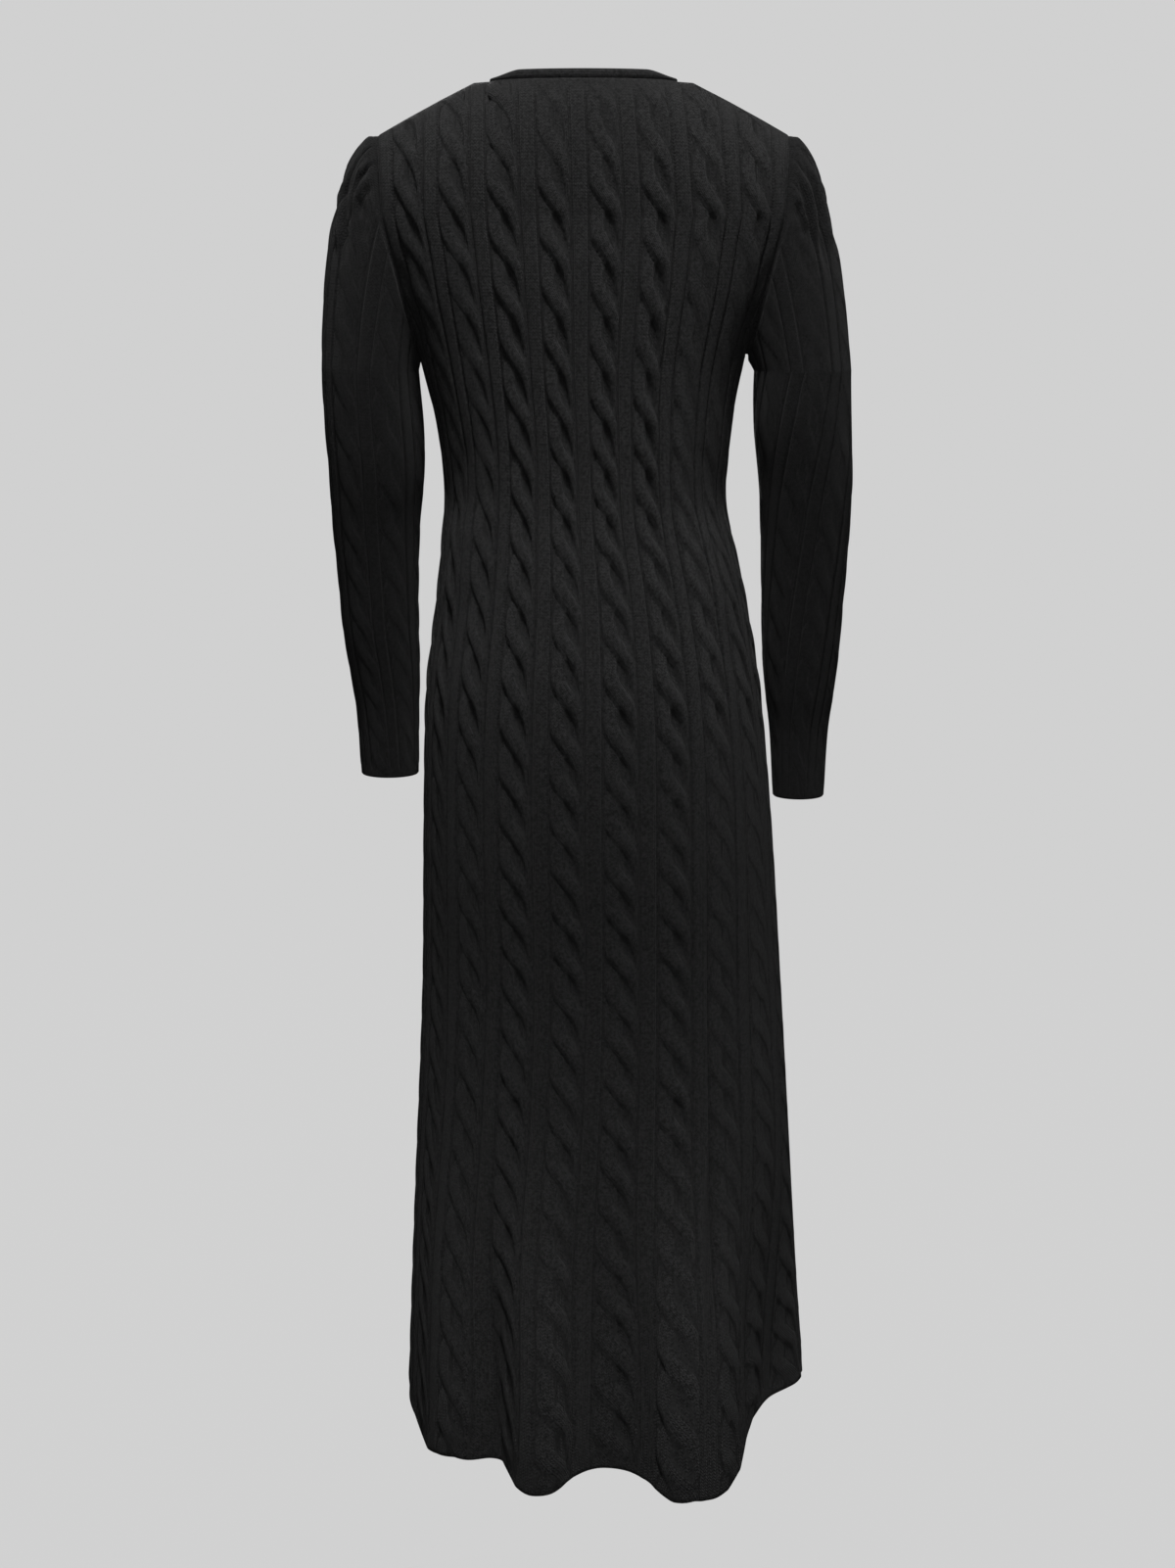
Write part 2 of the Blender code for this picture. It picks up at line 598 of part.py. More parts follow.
def build_panel(panel):
    """A front or back panel, cables outside and plain inside."""
    wall = Wall(body_point, panel, BODY_LADDER)
    bottom = row_of(BODY_LADDER, HEM_Z)
    bend = row_of(BODY_LADDER, ARMHOLE_BEND_Z)
    sides = []
    for inside in (False, True):
        chains = []
        for column, number, marks in panel_columns():
            if inside and number is not None and number not in INSIDE_COLUMNS:
                continue
            column = math.copysign(min(abs(column), PANEL_REPEATS), column)
            upright = abs(abs(column) - ARMHOLE_REPEATS) < 0.001
            if upright:
                column = math.copysign(ARMHOLE_REPEATS, column)
            top = row_of(BODY_LADDER, body_top(panel, column))
            if inside:
                spots = inside_rows(top, bottom, column)
            else:
                spots = rows_between(top, bottom, marks)
                if abs(column) > ARMHOLE_REPEATS + 0.001:
                    spots = [(r, h * soft_step(*ARMHOLE_FADE, r - top)) for r, h in spots]
                if len(marks) == 1:
                    spots = [s for s in spots if s[0] > YOKE_ROW]
                    spots += rows_between(top, YOKE_ROW + EDGE_ROWS, CLOSE_MARKS)
                elif abs(column) > TIP_REPEATS:
                    spots = between_marks(spots, TIP_ROW)
            if upright:
                spots = [s for s in spots if s[0] > bend + TOP_ROWS]
                spots += rows_between(top, bend, EDGE_MARKS, EDGE_MARK_ROOM, EDGE_MARK_ROOM)
                spots.append((bend, 0.0))
            spots = [(top, 0.0)] + sorted(spots) + [(bottom, 0.0)]
            top_x = top_point(panel, column)[0]
            side_seam = abs(column) == PANEL_REPEATS
            chain = []
            for order, (row, lift) in enumerate(spots):
                shoulder = order == 0 and abs(top_x) >= NECK_X - 1e-6
                seam = side_seam or (shoulder and abs(column) < ARMHOLE_REPEATS + 0.001)
                depth = -WALL if inside else lift
                chain.append((row, wall.add(column, row, depth, seam), column))
            chains.append((column, number, upright, chain))
        sides.append(chains)
        first_face = len(wall.faces)
        for left, right in zip(chains, chains[1:]):
            left_chain = left[3]
            right_chain = right[3]
            if left[2] and abs(right[0]) > ARMHOLE_REPEATS + 0.001:
                left_chain = [c for c in left_chain if c[0] >= bend - 1e-6]
            if right[2] and abs(left[0]) > ARMHOLE_REPEATS + 0.001:
                right_chain = [c for c in right_chain if c[0] >= bend - 1e-6]
            same_cable = (not inside and left[1] is not None and right[1] is not None
                          and right[1] == left[1] + 1)
            lean = ROW_LEAN if same_cable else 0.0
            lean *= right[0] - left[0]
            first = right_chain[0][0]
            wall.zip(
                [(c[0], c[1]) for c in left_chain],
                [(c[0] - lean * soft_step(0.0, LEAN_ROWS, c[0] - first), c[1])
                 for c in right_chain],
            )
        if inside:
            wall.faces[first_face:] = [f[::-1] for f in wall.faces[first_face:]]
    rims = [panel_rim(chains, bend) for chains in sides]
    for outer, inner in zip(rims[0], rims[1]):
        wall.bridge(outer, inner)
    return wall


def panel_rim(chains, bend):
    """The edges of a panel side by side: hem, seams, armholes, shoulders and neckline."""
    hem = [c[3][-1][1] for c in chains]
    left_seam = [p[1] for p in chains[0][3]]
    right_seam = [p[1] for p in chains[-1][3]]
    uprights = [k for k, c in enumerate(chains) if c[2]]
    low, high = uprights
    left_arm = [c[3][0][1] for c in chains[:low]]
    left_arm += [p[1] for p in reversed(chains[low][3]) if p[0] <= bend + 1e-6]
    right_arm = [p[1] for p in chains[high][3] if p[0] <= bend + 1e-6]
    right_arm += [c[3][0][1] for c in chains[high + 1:]]
    tops = [c[3][0][1] for c in chains[low:high + 1]]
    return hem, left_seam, right_seam, left_arm, right_arm, tops


def build_sleeve(side):
    """A sleeve: a closed tube of six cables and a plain underarm gusset."""
    wall = Wall(sleeve_point, side, SLEEVE_LADDER)
    bottom = row_of(SLEEVE_LADDER, SLEEVES[side][-1].z)
    sides = []
    for inside in (False, True):
        chains = []
        for cable in range(SLEEVE_CABLES):
            for number, column in enumerate(CABLE):
                if inside and number not in INSIDE_COLUMNS:
                    continue
                place = cable + 0.5 + column.offset
                chains.append((place, number, column.marks))
        chains.append((SLEEVE_CABLES + 0.5, None, CLOSE_MARKS))
        built = []
        for place, number, marks in chains:
            top = row_of(SLEEVE_LADDER, sleeve_top(side, place))
            spots = inside_rows_sleeve(top, bottom) if inside else rows_between(
                top, bottom, marks)
            spots = [(top, 0.0)] + spots + [(bottom, 0.0)]
            chain = []
            for row, lift in spots:
                size = cable_size(side, height_of(SLEEVE_LADDER, row))
                depth = -WALL if inside else lift * size
                chain.append((row, wall.add(place, row, depth)))
            built.append((place, number, chain))
        sides.append(built)
        first_face = len(wall.faces)
        for left, right in zip(built, built[1:] + built[:1]):
            same_cable = (not inside and left[1] is not None and right[1] is not None
                          and right[1] == left[1] + 1)
            lean = ROW_LEAN if same_cable else 0.0
            wall.zip(
                left[2],
                [(c[0] - lean * (right[0] - left[0]), c[1]) for c in right[2]],
            )
        if inside:
            wall.faces[first_face:] = [f[::-1] for f in wall.faces[first_face:]]
    for end in (0, -1):
        rims = []
        for built in sides:
            ring = [c[2][end][1] for c in built]
            rims.append(ring + ring[:1])
        wall.bridge(rims[0], rims[1])
    return wall


def cable_size(side, height):
    """Cables thin out with the sleeve: their height goes with the width of a repeat."""
    z = min(height, RING_Z)
    pitch = math.radians(follow(SLEEVES[side], z, "pitch"))
    width = pitch * follow(SLEEVES[side], z, "radius")
    return min(1.0, (width / REPEAT_LENGTH) ** 0.5)


def inside_rows_sleeve(first, last):
    """Rows of the plain inside of a sleeve, closer together over the sleeve head."""
    found = []
    row = math.floor(first) + INSIDE_FIRST
    head = row_of(SLEEVE_LADDER, RING_Z)
    while row < last - INSIDE_HEM_ROOM:
        if row > first + INSIDE_FIRST:
            found.append((row, 0.0))
        row += INSIDE_YOKE_STEP if row < head + INSIDE_HEAD_ROWS else INSIDE_BODY_STEP
    return found


def build_neckband():
    """Rolled band that stands on the neckline, one short section at each column end."""
    stations = []
    for panel in ("back", "front"):
        columns = [c[0] for c in panel_columns() if abs(c[0]) < ARMHOLE_REPEATS]
        ends = [top_point(panel, c) for c in columns]
        neck = [p for p in ends if abs(p[0]) <= NECK_X + 1e-6]
        stations.append(neck)
    loop = stations[0] + stations[1][1:-1]
    for corner in (0, len(stations[0]) - 1):
        loop[corner] = np.array((loop[corner][0], 0.0, loop[corner][2]))
    count = len(loop)
    points = []
    for k in range(count):
        here = loop[k]
        tangent = loop[(k + 1) % count] - loop[k - 1]
        tangent = tangent / np.linalg.norm(tangent)
        up = np.array((0.0, 0.0, 1.0))
        up = up - tangent * np.dot(up, tangent)
        up = up / np.linalg.norm(up)
        across = np.cross(tangent, up)
        base = here + up * BAND_LIFT - across * 0.5 * BAND_THICK
        for side, rise in BAND_SECTION:
            points.append(base + across * side * 0.5 * BAND_THICK + up * rise * BAND_HEIGHT)
    size = len(BAND_SECTION)
    faces = []
    for k in range(count):
        for j in range(size):
            a = k * size + j
            b = k * size + (j + 1) % size
            c = ((k + 1) % count) * size + (j + 1) % size
            d = ((k + 1) % count) * size + j
            faces.append((a, b, c))
            faces.append((a, c, d))
    return points, faces


# ------------------------------------------------------------------ objects
def cloth_material(name, colour):
    material = bpy.data.materials.new(name)
    material.use_nodes = True
    shader = material.node_tree.nodes["Principled BSDF"]
    shader.inputs["Base Color"].default_value = colour
    shader.inputs["Roughness"].default_value = 0.9
    return material


def leaning(point):
    """The point with the sideways stand of the shoulders."""
    share = soft_step(UPPER_LEAN_Z[0], UPPER_LEAN_Z[1], point[2])
    return Vector((point[0] + UPPER_LEAN * share, point[1], point[2]))


def add_object(collection, name, points, faces, colour):
    """One closed body whose faces point outwards."""
    mesh = bpy.data.meshes.new(name)
    mesh.from_pydata([leaning(p) for p in points], [], faces)
    shape = bmesh.new()
    shape.from_mesh(mesh)
    bmesh.ops.recalc_face_normals(shape, faces=shape.faces)
    if shape.calc_volume(signed=True) < 0.0:
        bmesh.ops.reverse_faces(shape, faces=shape.faces)
    shape.to_mesh(mesh)
    shape.free()
    mesh.materials.append(cloth_material(name + "_cloth", colour))
    collection.objects.link(bpy.data.objects.new(name, mesh))


def main():
    for old in list(bpy.data.objects):
        bpy.data.objects.remove(old, do_unlink=True)
    collection = bpy.data.collections.new(COLLECTION)
    bpy.context.scene.collection.children.link(collection)
    for panel in ("back", "front"):
        wall = build_panel(panel)
        add_object(collection, panel + "_panel", wall.points, wall.faces, CLOTH_COLOUR)
    for side in ("left", "right"):
        wall = build_sleeve(side)
        add_object(collection, "sleeve_" + side, wall.points, wall.faces, CLOTH_COLOUR)
    points, faces = build_neckband()
    add_object(collection, "neckband", points, faces, BAND_COLOUR)


main()
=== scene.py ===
"""Looks of the cable-knit sweater dress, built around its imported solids.

Each knitted piece is a thin sheet on the outer face of its solid, from the same levels, folds
and columns, with its strands, ribs, creases and rolled edges modelled.
Metres, +Z up, the back of the dress faces +Y and the camera.
"""

import math

import bmesh
import bpy
import numpy as np
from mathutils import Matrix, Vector


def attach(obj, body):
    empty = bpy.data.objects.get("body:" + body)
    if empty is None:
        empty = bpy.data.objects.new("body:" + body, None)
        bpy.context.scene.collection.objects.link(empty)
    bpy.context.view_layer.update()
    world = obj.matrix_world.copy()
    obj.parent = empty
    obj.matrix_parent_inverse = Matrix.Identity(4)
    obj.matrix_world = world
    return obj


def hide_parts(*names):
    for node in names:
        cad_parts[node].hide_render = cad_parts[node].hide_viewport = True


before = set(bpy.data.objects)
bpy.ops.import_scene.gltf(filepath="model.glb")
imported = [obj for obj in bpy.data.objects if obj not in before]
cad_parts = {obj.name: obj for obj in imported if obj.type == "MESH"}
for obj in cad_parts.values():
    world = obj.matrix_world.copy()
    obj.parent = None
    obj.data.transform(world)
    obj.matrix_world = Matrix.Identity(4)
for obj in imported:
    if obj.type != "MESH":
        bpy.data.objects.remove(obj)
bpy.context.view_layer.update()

# ---- camera
IMAGE = (1200, 1601)  # pixels
FOCAL_PX = 2800.0
CAMERA_PLACE = (0.0, 2.45, -0.1602)
CAMERA_PITCH = 10.728  # degrees below the level
SENSOR = 36.0  # millimetres

# ---- sizes of the dress
SEAM_GAP = 0.0003  # between two solids along a seam
SAME_PLACE = 1e-6
HEM_Z = -1.203
UNDERARM_Z = -0.238
YOKE_Z = -0.120  # level cuts below this, curves up to the top edge above it
TIP_Z = -0.0505  # the shoulder points
ARMHOLE_MIDDLE_Z = 0.5 * (TIP_Z + UNDERARM_Z)
ARMHOLE_HALF = 0.5 * (TIP_Z - UNDERARM_Z)
NECK_X = 0.0815
NECK_Z = -0.0045
NECK_BACK_Y = 0.053
NECK_FRONT_Y = 0.062
NECK_FRONT_DROP = 0.070
UPPER_LEAN = 0.0035  # the upper part stands this far to one side, fully above the second
UPPER_LEAN_Z = (-0.36, -0.24)
ARMHOLE_Y = 0.039
SECTION_SQUARE = 2.15  # power of the level cuts; 2 is an ellipse
CORNER_POWER = 3  # how roundly a cut runs into the armhole edge
YOKE_ROUND_MIDDLE = 0.35
YOKE_ROUND_SIDE = {"back": 0.45, "front": 0.30}
YOKE_SIDE_FROM = 0.25  # share of NECK_X where the rounder part begins
SECTION_STEPS = 240
CURVE_STEPS = 48
LADDER_STEP = 0.005
PANEL_REPEATS = 5.0  # repeats of the knit from the middle of a panel to its side seam
ARMHOLE_REPEATS = 4.1667  # the same above the armhole
ARMHOLE_BEND_Z = -0.168
FOLD_START_Z = -0.88
FOLD_SWING = 1.3
FOLD_FLAT = 2.6

BODY_LEVELS = ("z half_width centre_x back front centre_shift seam_shift", (
    (-0.12, 0.1743, 0.0, 0.084, 0.102, -0.003, 0.0),
    (-0.186, 0.1589, 0.0, 0.092, 0.118, -0.002, 0.0),
    (-0.238, 0.1425, 0.001, 0.094, 0.118, -0.001, 0.0),
    (-0.3, 0.129, 0.001, 0.097, 0.109, -0.001, 0.0),
    (-0.366, 0.1243, 0.002, 0.103, 0.098, 0.0, 0.0),
    (-0.445, 0.1352, -0.003, 0.123, 0.102, 0.0, 0.0),
    (-0.534, 0.1482, -0.005, 0.141, 0.11, 0.0, 0.0),
    (-0.654, 0.1562, -0.009, 0.141, 0.115, -0.002, -0.002),
    (-0.808, 0.163, -0.013, 0.131, 0.116, -0.004, -0.004),
    (-0.997, 0.1734, -0.015, 0.142, 0.128, -0.01, -0.006),
    (-1.203, 0.1848, -0.0175, 0.161, 0.15, -0.022, -0.01),
))
ARMHOLE_EDGE = ("z x", (
    (-0.0505, 0.18), (-0.083, 0.18), (-0.111, 0.1765),
    (-0.162, 0.1634), (-0.196, 0.1552), (-0.238, 0.1425),
))
# folds of the skirt: middle, half width to either side, reach at the hem
FOLDS = {
    "back": (
        (0.126, 0.03, 0.038, 0.048), (0.044, 0.028, 0.036, 0.062),
        (-0.094, 0.044, 0.042, 0.078), (-0.014, 0.024, 0.024, 0.006),
        (-0.177, 0.026, 0.03, -0.05),
    ),
    "front": (
        (0.128, 0.028, 0.032, 0.022), (0.058, 0.036, 0.038, 0.036),
        (-0.05, 0.046, 0.042, 0.042), (-0.138, 0.034, 0.032, 0.024),
    ),
}
# column and x of points on the top edge
TOP_EDGE = {
    "back": ((-4.1667, 0.18), (-3.5, 0.153), (-2.5, 0.11), (-1.7, 0.0815), (-0.5, 0.0275),
             (0.5, -0.014), (2.1667, -0.0815), (3.5, -0.146), (4.1667, -0.18)),
    "front": ((-4.1667, -0.18), (-1.8333, -0.0815), (1.8333, 0.0815), (4.1667, 0.18)),
}
# x and z of points on the shoulder seam
SHOULDER_LINE = np.array((
    (0.0815, -0.0045), (0.095, -0.0055), (0.125, -0.0205), (0.155, -0.0365), (0.18, -0.0505),
))
# length of one crossing down the cloth
BODY_PITCH = ("z length", (
    (0.06, 0.048), (-0.04, 0.048), (-0.085, 0.046), (-0.13, 0.043), (-0.173, 0.0446),
    (-0.218, 0.046), (-0.27, 0.0425), (-0.34, 0.0402), (-0.48, 0.04), (-0.705, 0.0395),
    (-0.745, 0.0368), (-0.8, 0.0378), (-1.0, 0.039), (-1.25, 0.04),
))
BODY_FIRST_ROW_Z = 0.0156
SLEEVE_PITCH = ("z length", (
    (0.06, 0.0465), (-0.22, 0.0448), (-0.34, 0.0425),
    (-0.423, 0.0393), (-0.535, 0.034), (-0.7, 0.0326),
))
SLEEVE_FIRST_ROW_Z = -0.1555
RING_Z = -0.252  # level rings below this, the sleeve head above it
SLEEVE_CABLES = 6
SLEEVE_CLEAR = 0.0008
UNDERARM_CLEAR = 0.0014
# how full a sleeve head is: out, more out at the crown, along, down, less down at the crown
HEAD_BEND = {"left": (0.55, 0.38, 0.75, 0.42, 0.32), "right": (0.55, 0.16, 0.75, 0.42, 0.32)}
SLEEVE_NAMES = "z centre_x centre_y radius flat gusset pitch"
SLEEVES = {
    "left": (SLEEVE_NAMES, (
        (-0.252, 0.1863, -0.001, 0.0423, 0.0045, 123.0, 50.0),
        (-0.3, 0.1872, -0.005, 0.0417, 0.001, 122.0, 52.0),
        (-0.341, 0.188, -0.009, 0.0399, 0.0, 122.0, 54.0),
        (-0.387, 0.1898, -0.017, 0.0367, 0.0, 122.0, 56.0),
        (-0.437, 0.1893, -0.024, 0.0337, 0.0, 123.0, 57.5),
        (-0.487, 0.188, -0.031, 0.0317, 0.0, 125.0, 58.0),
        (-0.523, 0.1855, -0.036, 0.0293, 0.0, 128.0, 58.5),
        (-0.562, 0.1835, -0.04, 0.026, 0.0, 132.0, 58.5),
        (-0.621, 0.1825, -0.045, 0.0238, 0.0, 137.0, 58.5),
    )),
    "right": (SLEEVE_NAMES, (
        (-0.252, -0.1915, -0.001, 0.0423, 0.0045, -137.0, 50.0),
        (-0.302, -0.1922, -0.004, 0.0415, 0.0015, -150.0, 53.0),
        (-0.358, -0.1952, -0.012, 0.0388, 0.0, -170.0, 55.0),
        (-0.413, -0.1957, -0.021, 0.0365, 0.0, -181.0, 56.5),
        (-0.469, -0.195, -0.029, 0.034, 0.0, -191.0, 58.0),
        (-0.506, -0.1946, -0.034, 0.0323, 0.0, -196.0, 58.5),
        (-0.544, -0.1944, -0.038, 0.0288, 0.0, -202.0, 58.5),
        (-0.582, -0.1945, -0.042, 0.0242, 0.0, -210.0, 58.5),
        (-0.642, -0.1952, -0.046, 0.021, 0.0, -216.0, 58.5),
    )),
}
OUTWARD = {"left": 1.0, "right": -1.0}

# the rolled neckband
BAND_HEIGHT = 0.0086
BAND_THICK = 0.0036
BAND_SINK = 0.0006
BAND_END_LOSS = 0.64  # share of its height lost at the sides of the neck
BAND_END_X = 0.054  # where that begins
BAND_TRACE = 1201
BAND_POINTS = 480
BAND_TURNS = 20
BAND_EVEN_TURNS = 4
BAND_STITCH_MM = 2.4
BAND_TURN_STITCHES = 0.45
BAND_WAVES = 90.0

# ---- the knit, in millimetres
REPEAT_MM = 45.0  # across: one cable and one plain rib
ROW_MM = 42.0  # down: one crossing
CORNER_ROW = 0.72  # where a strand reaches the right edge of its cable
# one front strand: rows after its corner, place across, half width, height
STRAND = np.array((
    (-1.12, -5.0, 5.4, 0.3), (-0.96, -7.2, 6.6, 1.4), (-0.72, -7.9, 7.0, 2.6),
    (-0.46, -6.8, 7.0, 3.6), (-0.3, -3.0, 7.0, 4.2), (-0.04, 4.4, 6.6, 4.2),
    (0.1, 7.9, 5.6, 3.8), (0.26, 10.1, 4.2, 3.1), (0.46, 11.5, 2.9, 2.4),
    (0.72, 12.2, 1.9, 1.7), (1.0, 11.8, 1.0, 0.7),
))
ROPE_FLAT = 3.0  # powers of the round cut of a strand
ROPE_FULL = 0.55
HOLLOW_MM = 1.5  # the ground between the strands lies this far back
HOLLOW_HALF = 14.0
RIB_HALF = 6.0
RIB_RISE = 1.5
RIB_FLAT = 4
GROOVE_MM = 2.1
GROOVE_HALF = 1.0
GROOVE_PLACE = 7.1  # from the middle of the rib
CUT_MM = 1.7  # the sharp line below the slanting part of a strand
CUT_PLACE = 1.05  # in half widths of the strand
CUT_HALF = 0.085
CUT_FROM_ROWS = (-0.5, -0.3)  # it fades in and out over these rows after the corner
CUT_TO_ROWS = (0.02, 0.22)
STITCH_WIDE = 3.0
STITCH_TALL = 2.6
UNDERARM_SOFT = 0.045  # reach in metres of the softened bend below the armholes
SOFTEN_COLUMNS = (ARMHOLE_REPEATS - 1.0, ARMHOLE_REPEATS - 0.3)  # where that ends
TURN_IN = 0.004  # metres of seam allowance turned to the inside
TURN_IN_STITCHES = 1.5
# painted shade on the seam allowances turned to the inside: their share of the painted light
TURN_IN_PAINTED_LIGHT = 0.3
SLEEVE_TUCK = (1.0, 0.9, 1.0)
SEAM_DENT_MM = 0.8
SEAM_DENT_HALF = 2.0
PAINTED_SHADE_LIFTS_MM = (-2.4, 1.4)  # lifts in mm where the painted hollow shade is deepest and where it ends
# painted light on the highest strands goes up to this, a little lighter than the plain tone
PAINTED_LIGHT_MOST = 1.15
HOLLOW_PAINTED_SHADE = 0.52  # painted shade: tone of the wool deep between the strands, as a share of its plain tone
CREASE_PAINTED_SHADE = 0.45  # how much of a crease's depth counts for that painted shade

# how strongly the relief stands out down the body: middle cables, side cables, fine lines
RELIEF = ("z middle side line", (
    (0.06, 0.28, 0.28, 0.8), (-0.035, 0.32, 0.32, 0.9), (-0.075, 0.7, 0.6, 1.0),
    (-0.12, 0.95, 0.72, 1.0), (-0.155, 1.0, 0.4, 1.0), (-0.19, 1.0, 0.2, 1.0),
    (-0.33, 1.0, 0.16, 1.0), (-0.39, 1.0, 0.45, 1.0), (-0.54, 0.95, 0.62, 0.9),
    (-0.575, 0.56, 0.26, 0.75), (-0.64, 0.42, 0.14, 0.62), (-0.8, 0.45, 0.16, 0.65),
    (-0.92, 0.54, 0.24, 0.75), (-1.06, 0.48, 0.28, 0.75), (-1.25, 0.4, 0.3, 0.75),
))
SIDE_COLUMNS = (1.9, 2.7)  # repeats from the middle between which "side" takes over
SIDE_CUT_LOSS = 0.45
SLEEVE_RELIEF = 0.16
SLEEVE_GROOVE = 0.8
SLEEVE_CUT = 0.28
SLEEVE_SLIM = 0.7  # how the relief goes down with the width of a cable
GUSSET_RISE = 0.3
FILL_MM = 1.9  # the cloth is this much fuller where the cables lie flat
SLEEVE_FILL_MM = 2.6

# where the relief fades in: metres from an end, millimetres from a seam
PANEL_BOTTOM_FADE = (0.008, 0.022)
PANEL_TOP_FADE = (0.001, 0.03)
SEAM_FADE = (0.2, 4.0)
SLEEVE_BOTTOM_FADE = (0.004, 0.01)
SLEEVE_TOP_FADE = (0.0, 0.006)

# slow unevenness of the knit: seed, length of its waves, amount
UNEVEN = {
    "panel across": (11, 2.2, 0.018), "panel down": (12, 1.6, 0.05),
    "panel relief": (13, 1.4, 0.14), "band": (31, 1.5, 0.05),
    "sleeve across": (21, 2.0, 0.015), "sleeve down": (22, 1.5, 0.04),
}
WAVE_COUNT = 7

# the turned lower edge: how far inside and up its rows lie
ROLL = ((0.0009, -0.0012), (0.0022, -0.0008), (0.003, 0.001), (0.0031, 0.005),
        (0.0028, 0.01))
ROLL_STITCHES = 0.8

# how far the hem hangs below its level at places across, over the height HEM_DIP_REACH
HEM_DIP = {
    "back": (
        (-0.185, -0.014), (-0.15, -0.016), (-0.143, -0.004), (-0.137, 0.016), (-0.125, 0.021),
        (-0.094, 0.012), (-0.073, 0.014), (-0.05, 0.009), (-0.01, 0.006), (0.012, 0.005),
        (0.03, 0.01), (0.05, 0.013), (0.064, 0.015), (0.076, 0.004), (0.12, 0.003),
        (0.137, 0.01), (0.146, 0.016), (0.16, 0.004),
    ),
    "front": (
        (-0.198, -0.014), (-0.165, -0.007), (-0.12, 0.0), (-0.04, 0.003), (0.03, 0.0),
        (0.12, 0.002), (0.16, 0.004),
    ),
}
HEM_DIP_REACH = 0.12

# gathers and creases: width and depth in metres (a ridge where the depth is below zero), then
# x and z of points on the line
CREASES = {
    "left": (
        (0.0024, 0.0056, 0.1849, -0.0695, 0.1951, -0.0803, 0.2044, -0.0994, 0.2061, -0.1226,
         0.205, -0.156),
        (0.0022, 0.005, 0.1807, -0.0745, 0.1917, -0.0861, 0.1993, -0.0994, 0.2018, -0.118,
         0.201, -0.14),
        (0.0024, 0.0046, 0.18, -0.0915, 0.1865, -0.1, 0.1917, -0.109, 0.193, -0.123),
        (0.0022, 0.004, 0.205, -0.079, 0.2128, -0.1035, 0.215, -0.13, 0.214, -0.16),
        (0.003, -0.0034, 0.183, -0.072, 0.1934, -0.0832, 0.2019, -0.0994, 0.204, -0.12),
        (0.003, -0.003, 0.18, -0.084, 0.189, -0.093, 0.1956, -0.105, 0.1972, -0.122),
        (0.0034, -0.003, 0.196, -0.0735, 0.2086, -0.101, 0.2106, -0.126, 0.2096, -0.154),
        (0.003, 0.002, 0.185, -0.115, 0.19, -0.126, 0.189, -0.142),
        (0.004, 0.0018, 0.198, -0.19, 0.196, -0.25, 0.1945, -0.31),
    ),
    "right": (
        (0.0024, 0.005, -0.184, -0.07, -0.196, -0.09, -0.202, -0.113, -0.206, -0.143,
         -0.211, -0.17),
        (0.0022, 0.0044, -0.183, -0.085, -0.19, -0.105, -0.1955, -0.127, -0.199, -0.15),
        (0.0024, 0.0038, -0.182, -0.105, -0.187, -0.123, -0.191, -0.14),
        (0.0022, 0.0036, -0.2, -0.078, -0.211, -0.102, -0.2165, -0.132, -0.22, -0.165),
        (0.0032, -0.003, -0.1835, -0.0775, -0.193, -0.098, -0.199, -0.12, -0.2028, -0.147),
        (0.0032, -0.0026, -0.1825, -0.095, -0.1885, -0.114, -0.1935, -0.134),
        (0.0034, -0.0026, -0.192, -0.074, -0.2035, -0.097, -0.2095, -0.123, -0.213, -0.156),
        (0.003, 0.0018, -0.18, -0.126, -0.186, -0.145, -0.188, -0.164),
        (0.004, 0.0018, -0.203, -0.2, -0.201, -0.26, -0.199, -0.32),
    ),
    "back": (
        (0.006, 0.003, 0.16, -0.15, 0.15, -0.19, 0.137, -0.235),
        (0.007, 0.0026, -0.16, -0.15, -0.149, -0.195, -0.136, -0.24),
        (0.0045, 0.004, 0.08, -1.03, 0.079, -1.12, 0.078, -1.225),
        (0.004, 0.0036, -0.053, -1.03, -0.053, -1.12, -0.054, -1.225),
        (0.0045, 0.0048, -0.112, -0.9, -0.108, -1.02, -0.104, -1.225),
        (0.0035, 0.0026, 0.016, -0.98, 0.017, -1.1, 0.018, -1.225),
        (0.0035, 0.003, -0.14, -0.94, -0.143, -1.06, -0.144, -1.225),
        (0.012, -0.0025, 0.095, -0.36, 0.11, -0.42, 0.128, -0.47),
        (0.011, -0.0025, -0.09, -0.365, -0.108, -0.425, -0.126, -0.48),
        (0.01, 0.0022, 0.1, -0.3, 0.112, -0.35, 0.12, -0.395),
        (0.01, 0.0022, -0.098, -0.305, -0.11, -0.355, -0.118, -0.4),
    ),
    "front": (
        (0.008, 0.003, -0.15, -0.15, -0.12, -0.185, -0.085, -0.205),
        (0.008, 0.003, 0.15, -0.15, 0.122, -0.182, 0.09, -0.208),
        (0.006, 0.0036, 0.09, -0.96, 0.092, -1.09, 0.094, -1.225),
        (0.005, 0.0032, 0.01, -1.0, 0.008, -1.11, 0.006, -1.225),
        (0.006, 0.0038, -0.096, -0.93, -0.094, -1.08, -0.093, -1.225),
        (0.011, -0.0024, 0.092, -0.365, 0.108, -0.425, 0.122, -0.48),
        (0.012, -0.0024, -0.094, -0.36, -0.11, -0.42, -0.125, -0.47),
    ),
}
CREASE_ENDS = 0.3  # share of a crease over which each end runs out
CREASE_LEAST = 0.15  # depth left at its very ends
CREASE_WOBBLE = (0.25, 9.0, 40.0)
SLEEVE_BEHIND = (-0.01, 0.006)  # y from the axis over which front changes to back
SLEEVE_FRONT_SLIP = 0.006  # the creases lie this much lower on the front of a sleeve

